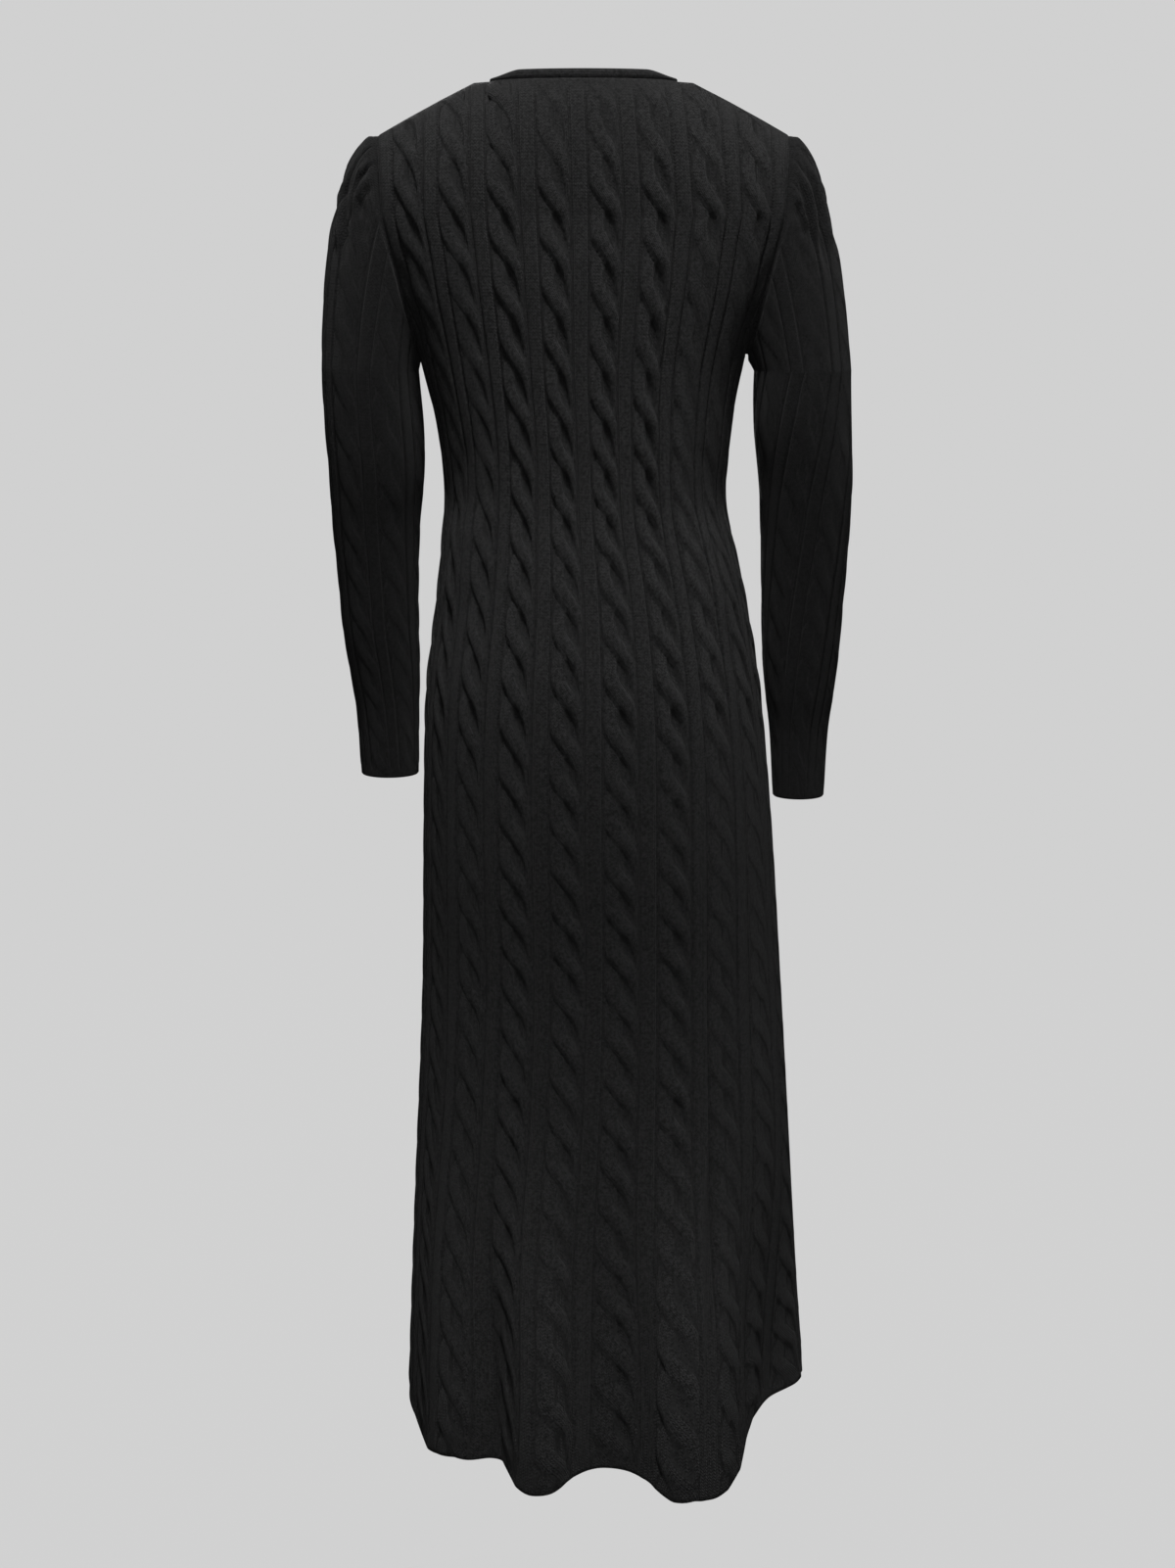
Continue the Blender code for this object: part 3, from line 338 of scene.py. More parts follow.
# places of the mesh columns in half a repeat, in millimetres from the middle of the rib
COLUMN_PLACES = (0.0, 2.6, 4.6, 5.9, 6.6, 7.1, 7.5, 8.3, 9.6, 11.2, 13.0, 15.0, 17.5, 20.2, 22.5)
YOKE_ROWS = 50
LEVEL_ROWS = 300
SLEEVE_ROWS = 400
HEAD_ROWS = 128
SOFTEN_TURNS = 160
GUSSET_COLUMNS = 8
ODD_REACH = 4  # neighbours that a normal is compared with, and the least likeness
ODD_LIMIT = 0.2
LEAST_FACE = 1e-10
WELD_REACH = 2e-6
FAR = 1e9


# ---- tables and curves
class Table:
    """Named columns against height, smooth between the rows as in the solids."""

    STEP = 0.001

    def __init__(self, source):
        names = source[0].split()
        rows = np.array(source[1])
        self.z = np.arange(rows[0, 0], rows[-1, 0] - self.STEP, -self.STEP)
        self.values = {}
        for number, name in enumerate(names[1:], 1):
            self.values[name] = np.array([self.smooth(rows, number, z) for z in self.z])

    @staticmethod
    def smooth(rows, number, z):
        if z >= rows[0, 0]:
            return rows[0, number]
        if z <= rows[-1, 0]:
            return rows[-1, number]
        k = int(np.searchsorted(-rows[:, 0], -z, side="right")) - 1
        last = len(rows) - 1
        picks = [min(max(i, 0), last) for i in range(k - 1, k + 3)]
        v = rows[picks, number]
        h = rows[picks, 0]
        step = h[2] - h[1]
        u = (z - h[1]) / step
        lead = step * (v[2] - v[0]) / (h[2] - h[0])
        trail = step * (v[3] - v[1]) / (h[3] - h[1])
        return ((2 * u ** 3 - 3 * u ** 2 + 1) * v[1] + (u ** 3 - 2 * u ** 2 + u) * lead
                + (3 * u ** 2 - 2 * u ** 3) * v[2] + (u ** 3 - u ** 2) * trail)

    def at(self, name, z):
        return np.interp(-np.asarray(z), -self.z, self.values[name])


def soft_step(low, high, value):
    u = np.clip((value - low) / (high - low), 0.0, 1.0)
    return u * u * (3.0 - 2.0 * u)


def ladder(table, first_z):
    """Heights, and the count of crossings down to each of them."""
    heights = np.arange(table.z[0], table.z[-1] - LADDER_STEP, -LADDER_STEP)
    middle = heights[1:] + 0.5 * LADDER_STEP
    rows = np.concatenate(([0.0], np.cumsum(LADDER_STEP / table.at("length", middle))))
    rows = rows - np.interp(-first_z, -heights, rows) + 1.0
    return heights, rows


def row_of(rungs, height):
    return np.interp(-np.asarray(height), -rungs[0], rungs[1])


def running_length(points):
    steps = np.linalg.norm(np.diff(points, axis=0), axis=1)
    return np.concatenate(([0.0], np.cumsum(steps)))


def walk(curve, fractions):
    """Points at fractions of the length of every column of a curve, and those lengths."""
    count = curve.shape[1]
    points = np.empty((len(fractions), count, 3))
    spans = np.empty(count)
    for j in range(count):
        lengths = running_length(curve[:, j])
        spans[j] = lengths[-1]
        for i in range(3):
            points[:, j, i] = np.interp(fractions * spans[j], lengths, curve[:, j, i])
    return points, spans


def cloth_height(level, fractions, spans, heights):
    """Height of every point as if the cloth above the level hung straight."""
    above = level + fractions[:, None] * spans[None, :]
    return np.concatenate((above, np.repeat(heights[:, None], len(spans), axis=1)))


def repeat_places(count):
    """Mesh columns over a number of repeats, closest where the grooves beside the ribs are."""
    half = np.array(COLUMN_PLACES) / REPEAT_MM
    repeat = np.concatenate((half, 1.0 - half[-2:0:-1]))
    return np.concatenate([repeat + k for k in range(count)])


LEVELS = Table(BODY_LEVELS)
ARMHOLE = Table(ARMHOLE_EDGE)
RELIEF_TABLE = Table(RELIEF)
SLEEVE_TABLE = {side: Table(SLEEVES[side]) for side in SLEEVES}
BODY_LADDER = ladder(Table(BODY_PITCH), BODY_FIRST_ROW_Z)
SLEEVE_LADDER = ladder(Table(SLEEVE_PITCH), SLEEVE_FIRST_ROW_Z)


# ---- body surface
def armhole_reach(z):
    """How far the armhole edge stands out to the front and the back."""
    off = (z - ARMHOLE_MIDDLE_Z) / ARMHOLE_HALF
    return ARMHOLE_Y * np.sqrt(np.clip(1.0 - off ** 2, 0.0, None))


def edge_repeats(z):
    """Column of the side seam or armhole edge at a height below the yoke."""
    share = np.clip((z - UNDERARM_Z) / (ARMHOLE_BEND_Z - UNDERARM_Z), 0.0, 1.0)
    round_share = np.sqrt(1.0 - (1.0 - share) ** 2)
    return PANEL_REPEATS + (ARMHOLE_REPEATS - PANEL_REPEATS) * round_share


def edge_of(cloth):
    """Column of that edge at heights along the cloth."""
    return np.where(cloth > YOKE_Z, ARMHOLE_REPEATS, edge_repeats(np.minimum(cloth, YOKE_Z)))


def section(panel, z):
    """Level cut of a panel in order of its columns, with its running length."""
    turn = -1.0 if panel == "back" else 1.0
    if z > UNDERARM_Z:
        half = ARMHOLE.at("x", z)
        reach = armhole_reach(z)
    else:
        half = LEVELS.at("half_width", z)
        reach = 0.0
    centre = LEVELS.at("centre_x", z)
    depth = LEVELS.at(panel, z)
    swing = soft_step(-FOLD_START_Z, -HEM_Z, -z) ** FOLD_SWING
    power = 2.0 / SECTION_SQUARE
    angle = math.pi * (np.linspace(0.0, 1.0, SECTION_STEPS + 1) - 0.5)
    sweep = np.sign(angle) * np.abs(np.sin(angle)) ** power
    swell = np.clip(np.cos(angle), 0.0, None) ** power
    x = centre + turn * half * sweep
    out = np.zeros_like(x)
    for middle, left, right, fold_reach in FOLDS[panel]:
        width = np.where(x > middle, left, right)
        out += fold_reach * np.exp(-np.abs((x - middle) / width) ** FOLD_FLAT)
    y = (reach ** CORNER_POWER + (depth * swell) ** CORNER_POWER) ** (1.0 / CORNER_POWER)
    y = y + swing * out * np.sqrt(swell)
    points = np.stack((x, -turn * y), axis=1)
    return points, running_length(points)


def level_row(panel, share, z):
    """Points of a panel on its level cut; share runs from -1 to 1 between the seams."""
    points, lengths = section(panel, z)
    total = lengths[-1]
    shift = LEVELS.at("centre_shift", z) if panel == "back" else 0.0
    turn = LEVELS.at("seam_shift", z)
    middle = 0.5 * total + shift
    where = np.where(share < 0.0, middle * (1.0 + share), middle + (total - middle) * share)
    where = np.clip(where, 0.5 * SEAM_GAP, total - 0.5 * SEAM_GAP) + turn
    other, other_lengths = section("front" if panel == "back" else "back", z)
    found = np.empty((len(share), 3))
    for i in range(2):
        inside = np.interp(where, lengths, points[:, i])
        before = np.interp(where + other_lengths[-1], other_lengths, other[:, i])
        after = np.interp(where - total, other_lengths, other[:, i])
        found[:, i] = np.where(where < 0.0, before, np.where(where > total, after, inside))
    found[:, 2] = z
    return found


def top_points(panel, columns):
    """Points on the top edge of a panel: the shoulder seams and the neckline between them."""
    table = np.array(TOP_EDGE[panel])
    x = np.interp(columns, table[:, 0], table[:, 1])
    side = 1.0 if panel == "back" else -1.0
    shoulder = np.abs(x) >= NECK_X - SAME_PLACE
    round_part = np.clip(1.0 - (x / NECK_X) ** 2, 0.0, None)
    reach = NECK_BACK_Y if panel == "back" else NECK_FRONT_Y
    drop = 0.0 if panel == "back" else NECK_FRONT_DROP
    y = side * (0.5 * SEAM_GAP + reach * np.sqrt(round_part))
    slanted = np.interp(np.abs(x), SHOULDER_LINE[:, 0], SHOULDER_LINE[:, 1])
    z = np.where(shoulder, slanted, NECK_Z - drop * round_part)
    return np.stack((x, y, z), axis=1)


def yoke_grid(panel, share, fractions):
    """Points above the level part, at fractions of each column's length, and the lengths."""
    foot = level_row(panel, share, YOKE_Z)
    top = top_points(panel, share * ARMHOLE_REPEATS)
    side = soft_step(YOKE_SIDE_FROM * NECK_X, NECK_X, np.abs(top[:, 0]))
    roundness = YOKE_ROUND_MIDDLE + YOKE_ROUND_SIDE[panel] * side
    q = np.linspace(0.0, 1.0, CURVE_STEPS + 1)[:, None]
    rise = roundness * np.sin(0.5 * math.pi * q) + (1.0 - roundness) * q
    lean = roundness * (1.0 - np.cos(0.5 * math.pi * q)) + (1.0 - roundness) * q * q
    curve = np.stack((
        foot[:, 0] + (top[:, 0] - foot[:, 0]) * q,
        foot[:, 1] + (top[:, 1] - foot[:, 1]) * lean,
        foot[:, 2] + (top[:, 2] - foot[:, 2]) * rise,
    ), axis=2)
    return walk(curve, fractions)


def panel_grid(panel):
    """Plain surface of a panel from its top down, with the column and row of every point.

    A column that the armhole cuts off stays on the armhole edge above that place.
    """
    wide = 2 * PANEL_REPEATS
    fixed = np.append(repeat_places(int(wide)), wide) - PANEL_REPEATS
    for column, x in TOP_EDGE[panel]:
        if abs(abs(x) - NECK_X) < SAME_PLACE:
            fixed[np.argmin(np.abs(fixed - column))] = column
    fixed[np.argmin(np.abs(fixed - ARMHOLE_REPEATS))] = ARMHOLE_REPEATS
    fixed[np.argmin(np.abs(fixed + ARMHOLE_REPEATS))] = -ARMHOLE_REPEATS
    fractions = np.linspace(1.0, 0.0, YOKE_ROWS + 1)
    yoke_columns = np.clip(fixed, -ARMHOLE_REPEATS, ARMHOLE_REPEATS)
    yoke, spans = yoke_grid(panel, yoke_columns / ARMHOLE_REPEATS, fractions)
    heights = np.linspace(YOKE_Z, HEM_Z, LEVEL_ROWS + 1)[1:]
    edge = edge_repeats(heights)
    level_columns = np.clip(fixed[None, :], -edge[:, None], edge[:, None])
    level = np.stack([level_row(panel, level_columns[k] / edge[k], z)
                      for k, z in enumerate(heights)])
    by_edge = soft_step(*SOFTEN_COLUMNS, np.abs(fixed))
    level = soften(np.concatenate((yoke[-1:], level)), np.append(YOKE_Z, heights), UNDERARM_Z,
                   UNDERARM_SOFT, by_edge)
    points = np.concatenate((yoke[:-1], level))
    cloth = cloth_height(YOKE_Z, fractions, spans, heights)
    columns = np.concatenate((np.repeat(yoke_columns[None, :], len(fractions), axis=0),
                              level_columns))
    return points, columns, row_of(BODY_LADDER, cloth), cloth


def soften(points, heights, level, reach, keep):
    """Even out the columns around a level; keep is 1 where they stay."""
    near = np.exp(-((heights - level) / reach) ** 2)[:, None, None]
    share = near * (1.0 - keep)[None, :, None]
    smooth = points.copy()
    for _ in range(SOFTEN_TURNS):
        middle = 0.25 * smooth[:-2] + 0.5 * smooth[1:-1] + 0.25 * smooth[2:]
        smooth[1:-1] += share[1:-1] * (middle - smooth[1:-1])
    return smooth


# ---- sleeve surface
def sleeve_ring(side, angle, z):
    """Points of a sleeve at an angle from the back and a height, flatter towards the body."""
    table = SLEEVE_TABLE[side]
    inward = np.clip(np.sin(angle) * OUTWARD[side], 0.0, None)
    radius = table.at("radius", z) - table.at("flat", z) * inward ** 2
    x = table.at("centre_x", z) - radius * np.sin(angle)
    y = table.at("centre_y", z) + radius * np.cos(angle)
    return np.stack((x, y, np.broadcast_to(z, x.shape)), axis=-1)


def sleeve_angle(side, place, z):
    """Angle of a column; columns run from 0 to SLEEVE_CABLES and then over the gusset."""
    table = SLEEVE_TABLE[side]
    z = np.minimum(z, RING_Z)
    pitch = table.at("pitch", z)
    spare = 360.0 - SLEEVE_CABLES * pitch
    start = table.at("gusset", z) + 0.5 * spare
    inside = start + place * pitch
    beyond = start + SLEEVE_CABLES * pitch + (place - SLEEVE_CABLES) * spare
    return np.radians(np.where(place <= SLEEVE_CABLES, inside, beyond))


def sleeve_grid(side):
    """Plain surface of a sleeve from the armhole down to the cuff."""
    gusset = SLEEVE_CABLES + np.linspace(0.0, 1.0, GUSSET_COLUMNS + 1)[:-1]
    place = np.concatenate((repeat_places(SLEEVE_CABLES), gusset))
    angle = sleeve_angle(side, place, RING_Z)
    outward = OUTWARD[side]
    around = angle + 0.5 * math.pi if outward > 0.0 else 0.5 * math.pi - angle
    high = np.cos(around)
    z = ARMHOLE_MIDDLE_Z + ARMHOLE_HALF * high
    clear = SLEEVE_CLEAR + UNDERARM_CLEAR * np.clip(-high, 0.0, None) ** 2
    start = np.stack((outward * (ARMHOLE.at("x", z) + clear), ARMHOLE_Y * np.sin(around), z), 1)
    foot = sleeve_ring(side, angle, RING_Z)
    crown = np.clip(high, 0.0, None)
    out, out_crown, sideways, down, down_crown = HEAD_BEND[side]
    weights = np.stack((out + out_crown * crown, np.full_like(crown, sideways),
                        down - down_crown * crown), 1)
    bend = start + (foot - start) * weights
    q = np.linspace(0.0, 1.0, CURVE_STEPS + 1)[:, None, None]
    curve = foot * (1 - q) ** 2 + bend * 2 * q * (1 - q) + start * q * q
    bottom = SLEEVES[side][1][-1][0]
    fractions = np.linspace(1.0, 0.0, HEAD_ROWS + 1)
    head, spans = walk(curve, fractions)
    heights = np.linspace(RING_Z, bottom, SLEEVE_ROWS - HEAD_ROWS + 1)[1:]
    tube = np.stack([sleeve_ring(side, sleeve_angle(side, place, h), h) for h in heights])
    points = np.concatenate((head, tube))
    cloth = cloth_height(RING_Z, fractions, spans, heights)
    columns = np.repeat(place[None, :], len(cloth), axis=0)
    return points, columns, row_of(SLEEVE_LADDER, cloth), cloth


# ---- relief
def waves(a, b, seed, scale):
    """Smooth repeatable unevenness between about -1 and 1."""
    rng = np.random.default_rng(seed)
    total = np.zeros(np.broadcast(a, b).shape)
    for _ in range(WAVE_COUNT):
        fa, fb = rng.normal(0.0, 1.0, 2) / scale
        total += np.sin(fa * a + fb * b + rng.uniform(0.0, 2.0 * math.pi))
    return total / (0.5 * WAVE_COUNT)


def uneven(columns, rows, kind):
    """One kind of slow unevenness at places of the knit."""
    seed, scale, amount = UNEVEN[kind]
    return amount * waves(columns, rows, seed, scale)


def painted_light_of_lift(lift):
    """Painted light of a point from how far it stands out of the hollows: painted shade in the
    hollows and creases, a little painted light on the strands.
    """
    return np.clip((lift - PAINTED_SHADE_LIFTS_MM[0]) / (PAINTED_SHADE_LIFTS_MM[1] - PAINTED_SHADE_LIFTS_MM[0]), 0.0, PAINTED_LIGHT_MOST)


def knit_relief(columns, rows):
    """Relief at columns and rows of the knit.

    Gives millimetres over the plain cloth, the depths of its grooves and of its cuts, and the
    stitch places across and along.
    """
    local = columns - np.floor(columns) - 0.5
    x = local * REPEAT_MM
    height = np.where(np.abs(x) < HOLLOW_HALF,
                      -HOLLOW_MM * np.clip(1.0 - (x / HOLLOW_HALF) ** 2, 0.0, None) ** 0.5, 0.0)
    from_rib = (0.5 - np.abs(local)) * REPEAT_MM
    height += RIB_RISE * np.clip(1.0 - (from_rib / RIB_HALF) ** RIB_FLAT, 0.0, None) ** 0.5
    groove = GROOVE_MM * np.exp(-((from_rib - GROOVE_PLACE) / GROOVE_HALF) ** 2)
    cut = np.zeros(rows.shape)
    across = (columns - np.floor(columns + 0.5)) * REPEAT_MM / STITCH_WIDE + 0.5
    along = rows * ROW_MM / STITCH_TALL
    first = np.floor(rows - CORNER_ROW)
    steps = np.diff(STRAND[:, :2] * (ROW_MM, 1.0), axis=0)
    reach = np.concatenate(([0.0], np.cumsum(np.hypot(steps[:, 0], steps[:, 1]))))
    for strand in (-1, 0, 1, 2):
        down = (rows - CORNER_ROW - first - strand) * ROW_MM
        best = np.full(rows.shape, FAR)
        found = np.zeros((4,) + rows.shape)
        for k in range(len(STRAND) - 1):
            v0, x0, w0, h0 = STRAND[k] * (ROW_MM, 1.0, 1.0, 1.0)
            v1, x1, w1, h1 = STRAND[k + 1] * (ROW_MM, 1.0, 1.0, 1.0)
            dv = v1 - v0
            dx = x1 - x0
            q = np.clip(((down - v0) * dv + (x - x0) * dx) / (dv * dv + dx * dx), 0.0, 1.0)
            off_v = down - (v0 + dv * q)
            off_x = x - (x0 + dx * q)
            width = w0 + (w1 - w0) * q
            share = np.hypot(off_v, off_x) / width
            nearer = share < best
            best = np.where(nearer, share, best)
            side = np.sign(off_x * dv - off_v * dx)
            values = (width, h0 + (h1 - h0) * q, side, reach[k] + (reach[k + 1] - reach[k]) * q)
            for i, value in enumerate(values):
                found[i] = np.where(nearer, value, found[i])
        rope = found[1] * np.clip(1.0 - best ** ROPE_FLAT, 0.0, None) ** ROPE_FULL
        over = (best < 1.0) & (rope > height)
        height = np.where(over, rope, height)
        across = np.where(over, best * found[0] * found[2] / STITCH_WIDE, across)
        along = np.where(over, found[3] / STITCH_TALL, along)
        slant = soft_step(*CUT_FROM_ROWS, down / ROW_MM)
        slant = slant * soft_step(-CUT_TO_ROWS[1], -CUT_TO_ROWS[0], -down / ROW_MM)
        below = np.exp(-((best - CUT_PLACE) / CUT_HALF) ** 2) * (found[2] < 0.0)
        cut = np.maximum(cut, CUT_MM * slant * below)
    return height, groove, cut, across, along


def creases(piece, x, z):
    """Lift in millimetres of all soft creases and ridges of a piece at x and z."""
    lift = np.zeros(x.shape)
    swing, turns, phase = CREASE_WOBBLE
    for width, depth, *line in CREASES[piece]:
        line = np.reshape(line, (-1, 2))
        lengths = running_length(line)
        nearest = np.full(x.shape, FAR)
        run = np.zeros(x.shape)
        for k in range(len(line) - 1):
            step = line[k + 1] - line[k]
            size = lengths[k + 1] - lengths[k]
            q = np.clip(((x - line[k, 0]) * step[0] + (z - line[k, 1]) * step[1]) / size ** 2,
                        0.0, 1.0)
            off = np.hypot(x - line[k, 0] - q * step[0], z - line[k, 1] - q * step[1])
            run = np.where(off < nearest, (lengths[k] + q * size) / lengths[-1], run)
            nearest = np.minimum(off, nearest)
        ends = soft_step(0.0, CREASE_ENDS, run) * soft_step(0.0, CREASE_ENDS, 1.0 - run)
        wobble = 1.0 + swing * np.sin(turns * run + phase * depth / width)
        dent = depth * 1000.0 * np.exp(-(nearest / (width * wobble)) ** 2)
        lift -= dent * (CREASE_LEAST + (1.0 - CREASE_LEAST) * ends)
    return lift


# ---- meshes
def unit(vectors):
    return vectors / np.maximum(np.linalg.norm(vectors, axis=-1, keepdims=True), 1e-12)


def grid_normals(points, wrap):
    """Normals of a grid; one unlike those beside it takes their mean."""
    if wrap:
        ring = np.concatenate((points[:, -1:], points, points[:, :1]), axis=1)
        across = ring[:, 2:] - ring[:, :-2]
    else:
        across = np.gradient(points, axis=1)
    along = np.gradient(points, axis=0)
    normal = unit(np.cross(along, across))
    beside = np.pad(normal, ((0, 0), (ODD_REACH, ODD_REACH), (0, 0)),
                    mode="wrap" if wrap else "edge")
    around = unit(sum(beside[:, k:k + normal.shape[1]] for k in range(2 * ODD_REACH + 1)))
    odd = np.sum(normal * around, axis=2, keepdims=True) < ODD_LIMIT
    return np.where(odd, around, normal)


def add_object(name, data):
    made = bpy.data.objects.new(name, data)
    bpy.context.scene.collection.objects.link(made)
    return made


def sheet_object(name, points, stitches, painted_light, wrap, material):
    """A smooth sheet of quads from a grid of points.

    The UV map holds its stitch places, and a point attribute holds how far it stands out of the
    hollows, which paints shade into the wool in its hollows and creases.
    """
    m, n = points.shape[:2]
    points = points.copy()
    points[..., 0] += UPPER_LEAN * soft_step(*UPPER_LEAN_Z, points[..., 2])
    index = np.arange(m * n).reshape(m, n)
    if wrap:
        right = np.roll(index, -1, axis=1)
    else:
        right = index[:, 1:]
        index = index[:, :-1]
    quads = np.stack((index[:-1], index[1:], right[1:], right[:-1]), axis=-1).reshape(-1, 4)
    corners = points.reshape(-1, 3)[quads]
    flat = np.linalg.norm(np.cross(corners[:, 2] - corners[:, 0], corners[:, 3] - corners[:, 1]),
                          axis=1)
    quads = quads[flat > LEAST_FACE]
    mesh = bpy.data.meshes.new(name)
    mesh.vertices.add(m * n)
    mesh.vertices.foreach_set("co", points.reshape(-1).astype(np.float32))
    # painted shade: this point attribute darkens the wool colour in the hollows and creases
    attribute = mesh.attributes.new("painted_light", "FLOAT", "POINT")
    attribute.data.foreach_set("value", painted_light.reshape(-1).astype(np.float32))
    mesh.loops.add(quads.size)
    mesh.loops.foreach_set("vertex_index", quads.reshape(-1).astype(np.int32))
    mesh.polygons.add(len(quads))
    mesh.polygons.foreach_set("loop_start", np.arange(0, quads.size, 4, dtype=np.int32))
    mesh.polygons.foreach_set("loop_total", np.full(len(quads), 4, dtype=np.int32))
    mesh.update(calc_edges=True)
    layer = mesh.uv_layers.new(name="stitches")
    layer.data.foreach_set("uv", stitches.reshape(-1, 2)[quads.reshape(-1)]
                           .reshape(-1).astype(np.float32))
    mesh.polygons.foreach_set("use_smooth", np.ones(len(quads), dtype=bool))
    mesh.materials.append(material)
    weld(mesh)
    return add_object(name, mesh)


def weld(mesh):
    """Join points that lie in one place and drop what that leaves empty."""
    work = bmesh.new()
    work.from_mesh(mesh)
    bmesh.ops.remove_doubles(work, verts=work.verts, dist=WELD_REACH)
    loose = [v for v in work.verts if not v.link_faces]
    bmesh.ops.delete(work, geom=loose, context="VERTS")
    work.to_mesh(mesh)
    work.free()


def face_outward(points, normal, axis_points):
    """The normals turned so that they point away from the axis, and the sign of that turn."""
    away = points[..., :2] - axis_points[..., :2]
    sign = np.sign(np.mean(np.sum(away * normal[..., :2], axis=-1)))
    return normal * sign, sign


def in_order(sign, *grids):
    """The grids, each the other way round where its faces would look inward."""
    return grids if sign > 0.0 else [grid[:, ::-1] for grid in grids]


def repeat_last(grid, count):
    """A grid with its last row repeated up to a number of rows."""
    return np.concatenate((grid, np.repeat(grid[-1:], count - len(grid), axis=0)))


# ---- materials
STITCH_SLANT = 1.5  # how far the legs of the V rise to their sides, in stitches
LOOP_ROUND = 3.6
LEG_ROUND = 13.0
LEG_MIDDLE = 0.25
FUZZ = (900.0, 3.0)  # scale and detail of a noise
HEATHER = (420.0, 2.0)
HEATHER_GAIN = 4.6
HEATHER_START = -1.8
HEATHER_SHARE = 0.6  # shares of heather and stitches in the tone of the wool
STITCH_SHARE = 0.4
STITCH_BUMP = 0.8
FUZZ_BUMP = 0.5
BUMP_DISTANCE = 0.0009
WOOL_FINISH = {"Roughness": 0.92, "Specular IOR Level": 0.25, "Sheen Weight": 0.06,
               "Sheen Roughness": 0.6}
PAPER_FINISH = {"Base Color": (0.004, 0.004, 0.004, 1.0), "Roughness": 1.0,
                "Specular IOR Level": 0.0, "Emission Color": (1.0, 1.0, 1.0, 1.0),
                "Emission Strength": 0.636}


class Nodes:
    """A material with short calls for its node tree."""

    def __init__(self, name):
        self.material = bpy.data.materials.new(name)
        self.material.use_nodes = True
        self.tree = self.material.node_tree
        self.shader = self.tree.nodes["Principled BSDF"]

    def finish(self, values):
        for name, value in values.items():
            self.shader.inputs[name].default_value = value

    def new(self, kind, **settings):
        node = self.tree.nodes.new(kind)
        for key, value in settings.items():
            setattr(node, key, value)
        return node

    def join(self, source, target):
        self.tree.links.new(source, target)

    def math(self, operation, a, b=None, c=None, clamp=False):
        node = self.new("ShaderNodeMath", operation=operation, use_clamp=clamp)
        for socket, value in zip(node.inputs, (a, b, c)):
            if value is None:
                continue
            if isinstance(value, (int, float)):
                socket.default_value = value
            else:
                self.join(value, socket)
        return node.outputs[0]

    def hump(self, value, middle, roundness):
        """1 at the middle, less with the square of the way from it."""
        off = self.math("SUBTRACT", value, middle)
        square = self.math("MULTIPLY", off, off)
        return self.math("SUBTRACT", 1.0, self.math("MULTIPLY", square, roundness))

    def noise(self, place, scale, detail):
        node = self.new("ShaderNodeTexNoise")
        node.inputs["Scale"].default_value = scale
        node.inputs["Detail"].default_value = detail
        self.join(place, node.inputs["Vector"])
        return node.outputs[0]


def knit_material(name, dark, light, bump):
    """Near-black heathered wool in rows of V stitches, between a dark and a light tone, darkened
    by painted shade in the hollows and creases from a point attribute.
    """
    made = Nodes(name)
    uv = made.new("ShaderNodeUVMap", uv_map="stitches")
    split = made.new("ShaderNodeSeparateXYZ")
    made.join(uv.outputs[0], split.inputs[0])
    across = made.math("FRACT", split.outputs[0])
    side = made.math("ABSOLUTE", made.math("SUBTRACT", across, 0.5))
    slanted = made.math("ADD", split.outputs[1], made.math("MULTIPLY", side, STITCH_SLANT))
    loop = made.hump(made.math("FRACT", slanted), 0.5, LOOP_ROUND)
    leg = made.hump(side, LEG_MIDDLE, LEG_ROUND)
    stitch = made.math("MULTIPLY", loop, leg, clamp=True)

    place = made.new("ShaderNodeTexCoord").outputs["Object"]
    fuzz = made.noise(place, *FUZZ)
    heather = made.noise(place, *HEATHER)
    tone = made.math("ADD", made.math("MULTIPLY", heather, HEATHER_GAIN), HEATHER_START)
    tone = made.math("ADD", made.math("MULTIPLY", tone, HEATHER_SHARE),
                     made.math("MULTIPLY", stitch, STITCH_SHARE), clamp=True)
    # painted shade: the point attribute darkens the colour deep in the hollows and creases and
    # lightens it a little on the strands
    painted_light = made.new("ShaderNodeAttribute", attribute_name="painted_light")
    share = made.math("MULTIPLY_ADD", painted_light.outputs["Fac"], 1.0 - HOLLOW_PAINTED_SHADE, HOLLOW_PAINTED_SHADE)
    mix = made.new("ShaderNodeMix", data_type="RGBA")
    mix.inputs["A"].default_value = dark
    mix.inputs["B"].default_value = light
    made.join(tone, mix.inputs["Factor"])
    shade = made.new("ShaderNodeVectorMath", operation="SCALE")
    made.join(mix.outputs["Result"], shade.inputs[0])
    made.join(share, shade.inputs["Scale"])
    made.join(shade.outputs[0], made.shader.inputs["Base Color"])
    made.finish(WOOL_FINISH)
    relief = made.math("ADD", made.math("MULTIPLY", stitch, STITCH_BUMP),
                       made.math("MULTIPLY", fuzz, FUZZ_BUMP))
    lift = made.new("ShaderNodeBump")
    lift.inputs["Strength"].default_value = bump
    lift.inputs["Distance"].default_value = BUMP_DISTANCE
    made.join(relief, lift.inputs["Height"])
    made.join(lift.outputs[0], made.shader.inputs["Normal"])
    return made.material


KNIT = knit_material("wool_knit", (0.003, 0.003, 0.0031, 1.0), (0.03, 0.03, 0.0305, 1.0), 1.0)
# painted shade: the sleeves take a darker copy of the wool because they get less light
SHADED_SLEEVE_KNIT = knit_material("sleeve_knit_painted_shade", (0.003, 0.003, 0.0031, 1.0),
                            (0.0145, 0.0145, 0.0149, 1.0), 0.8)
BAND_KNIT = knit_material("band_knit", (0.01, 0.01, 0.0103, 1.0),
                          (0.034, 0.034, 0.0347, 1.0), 0.6)


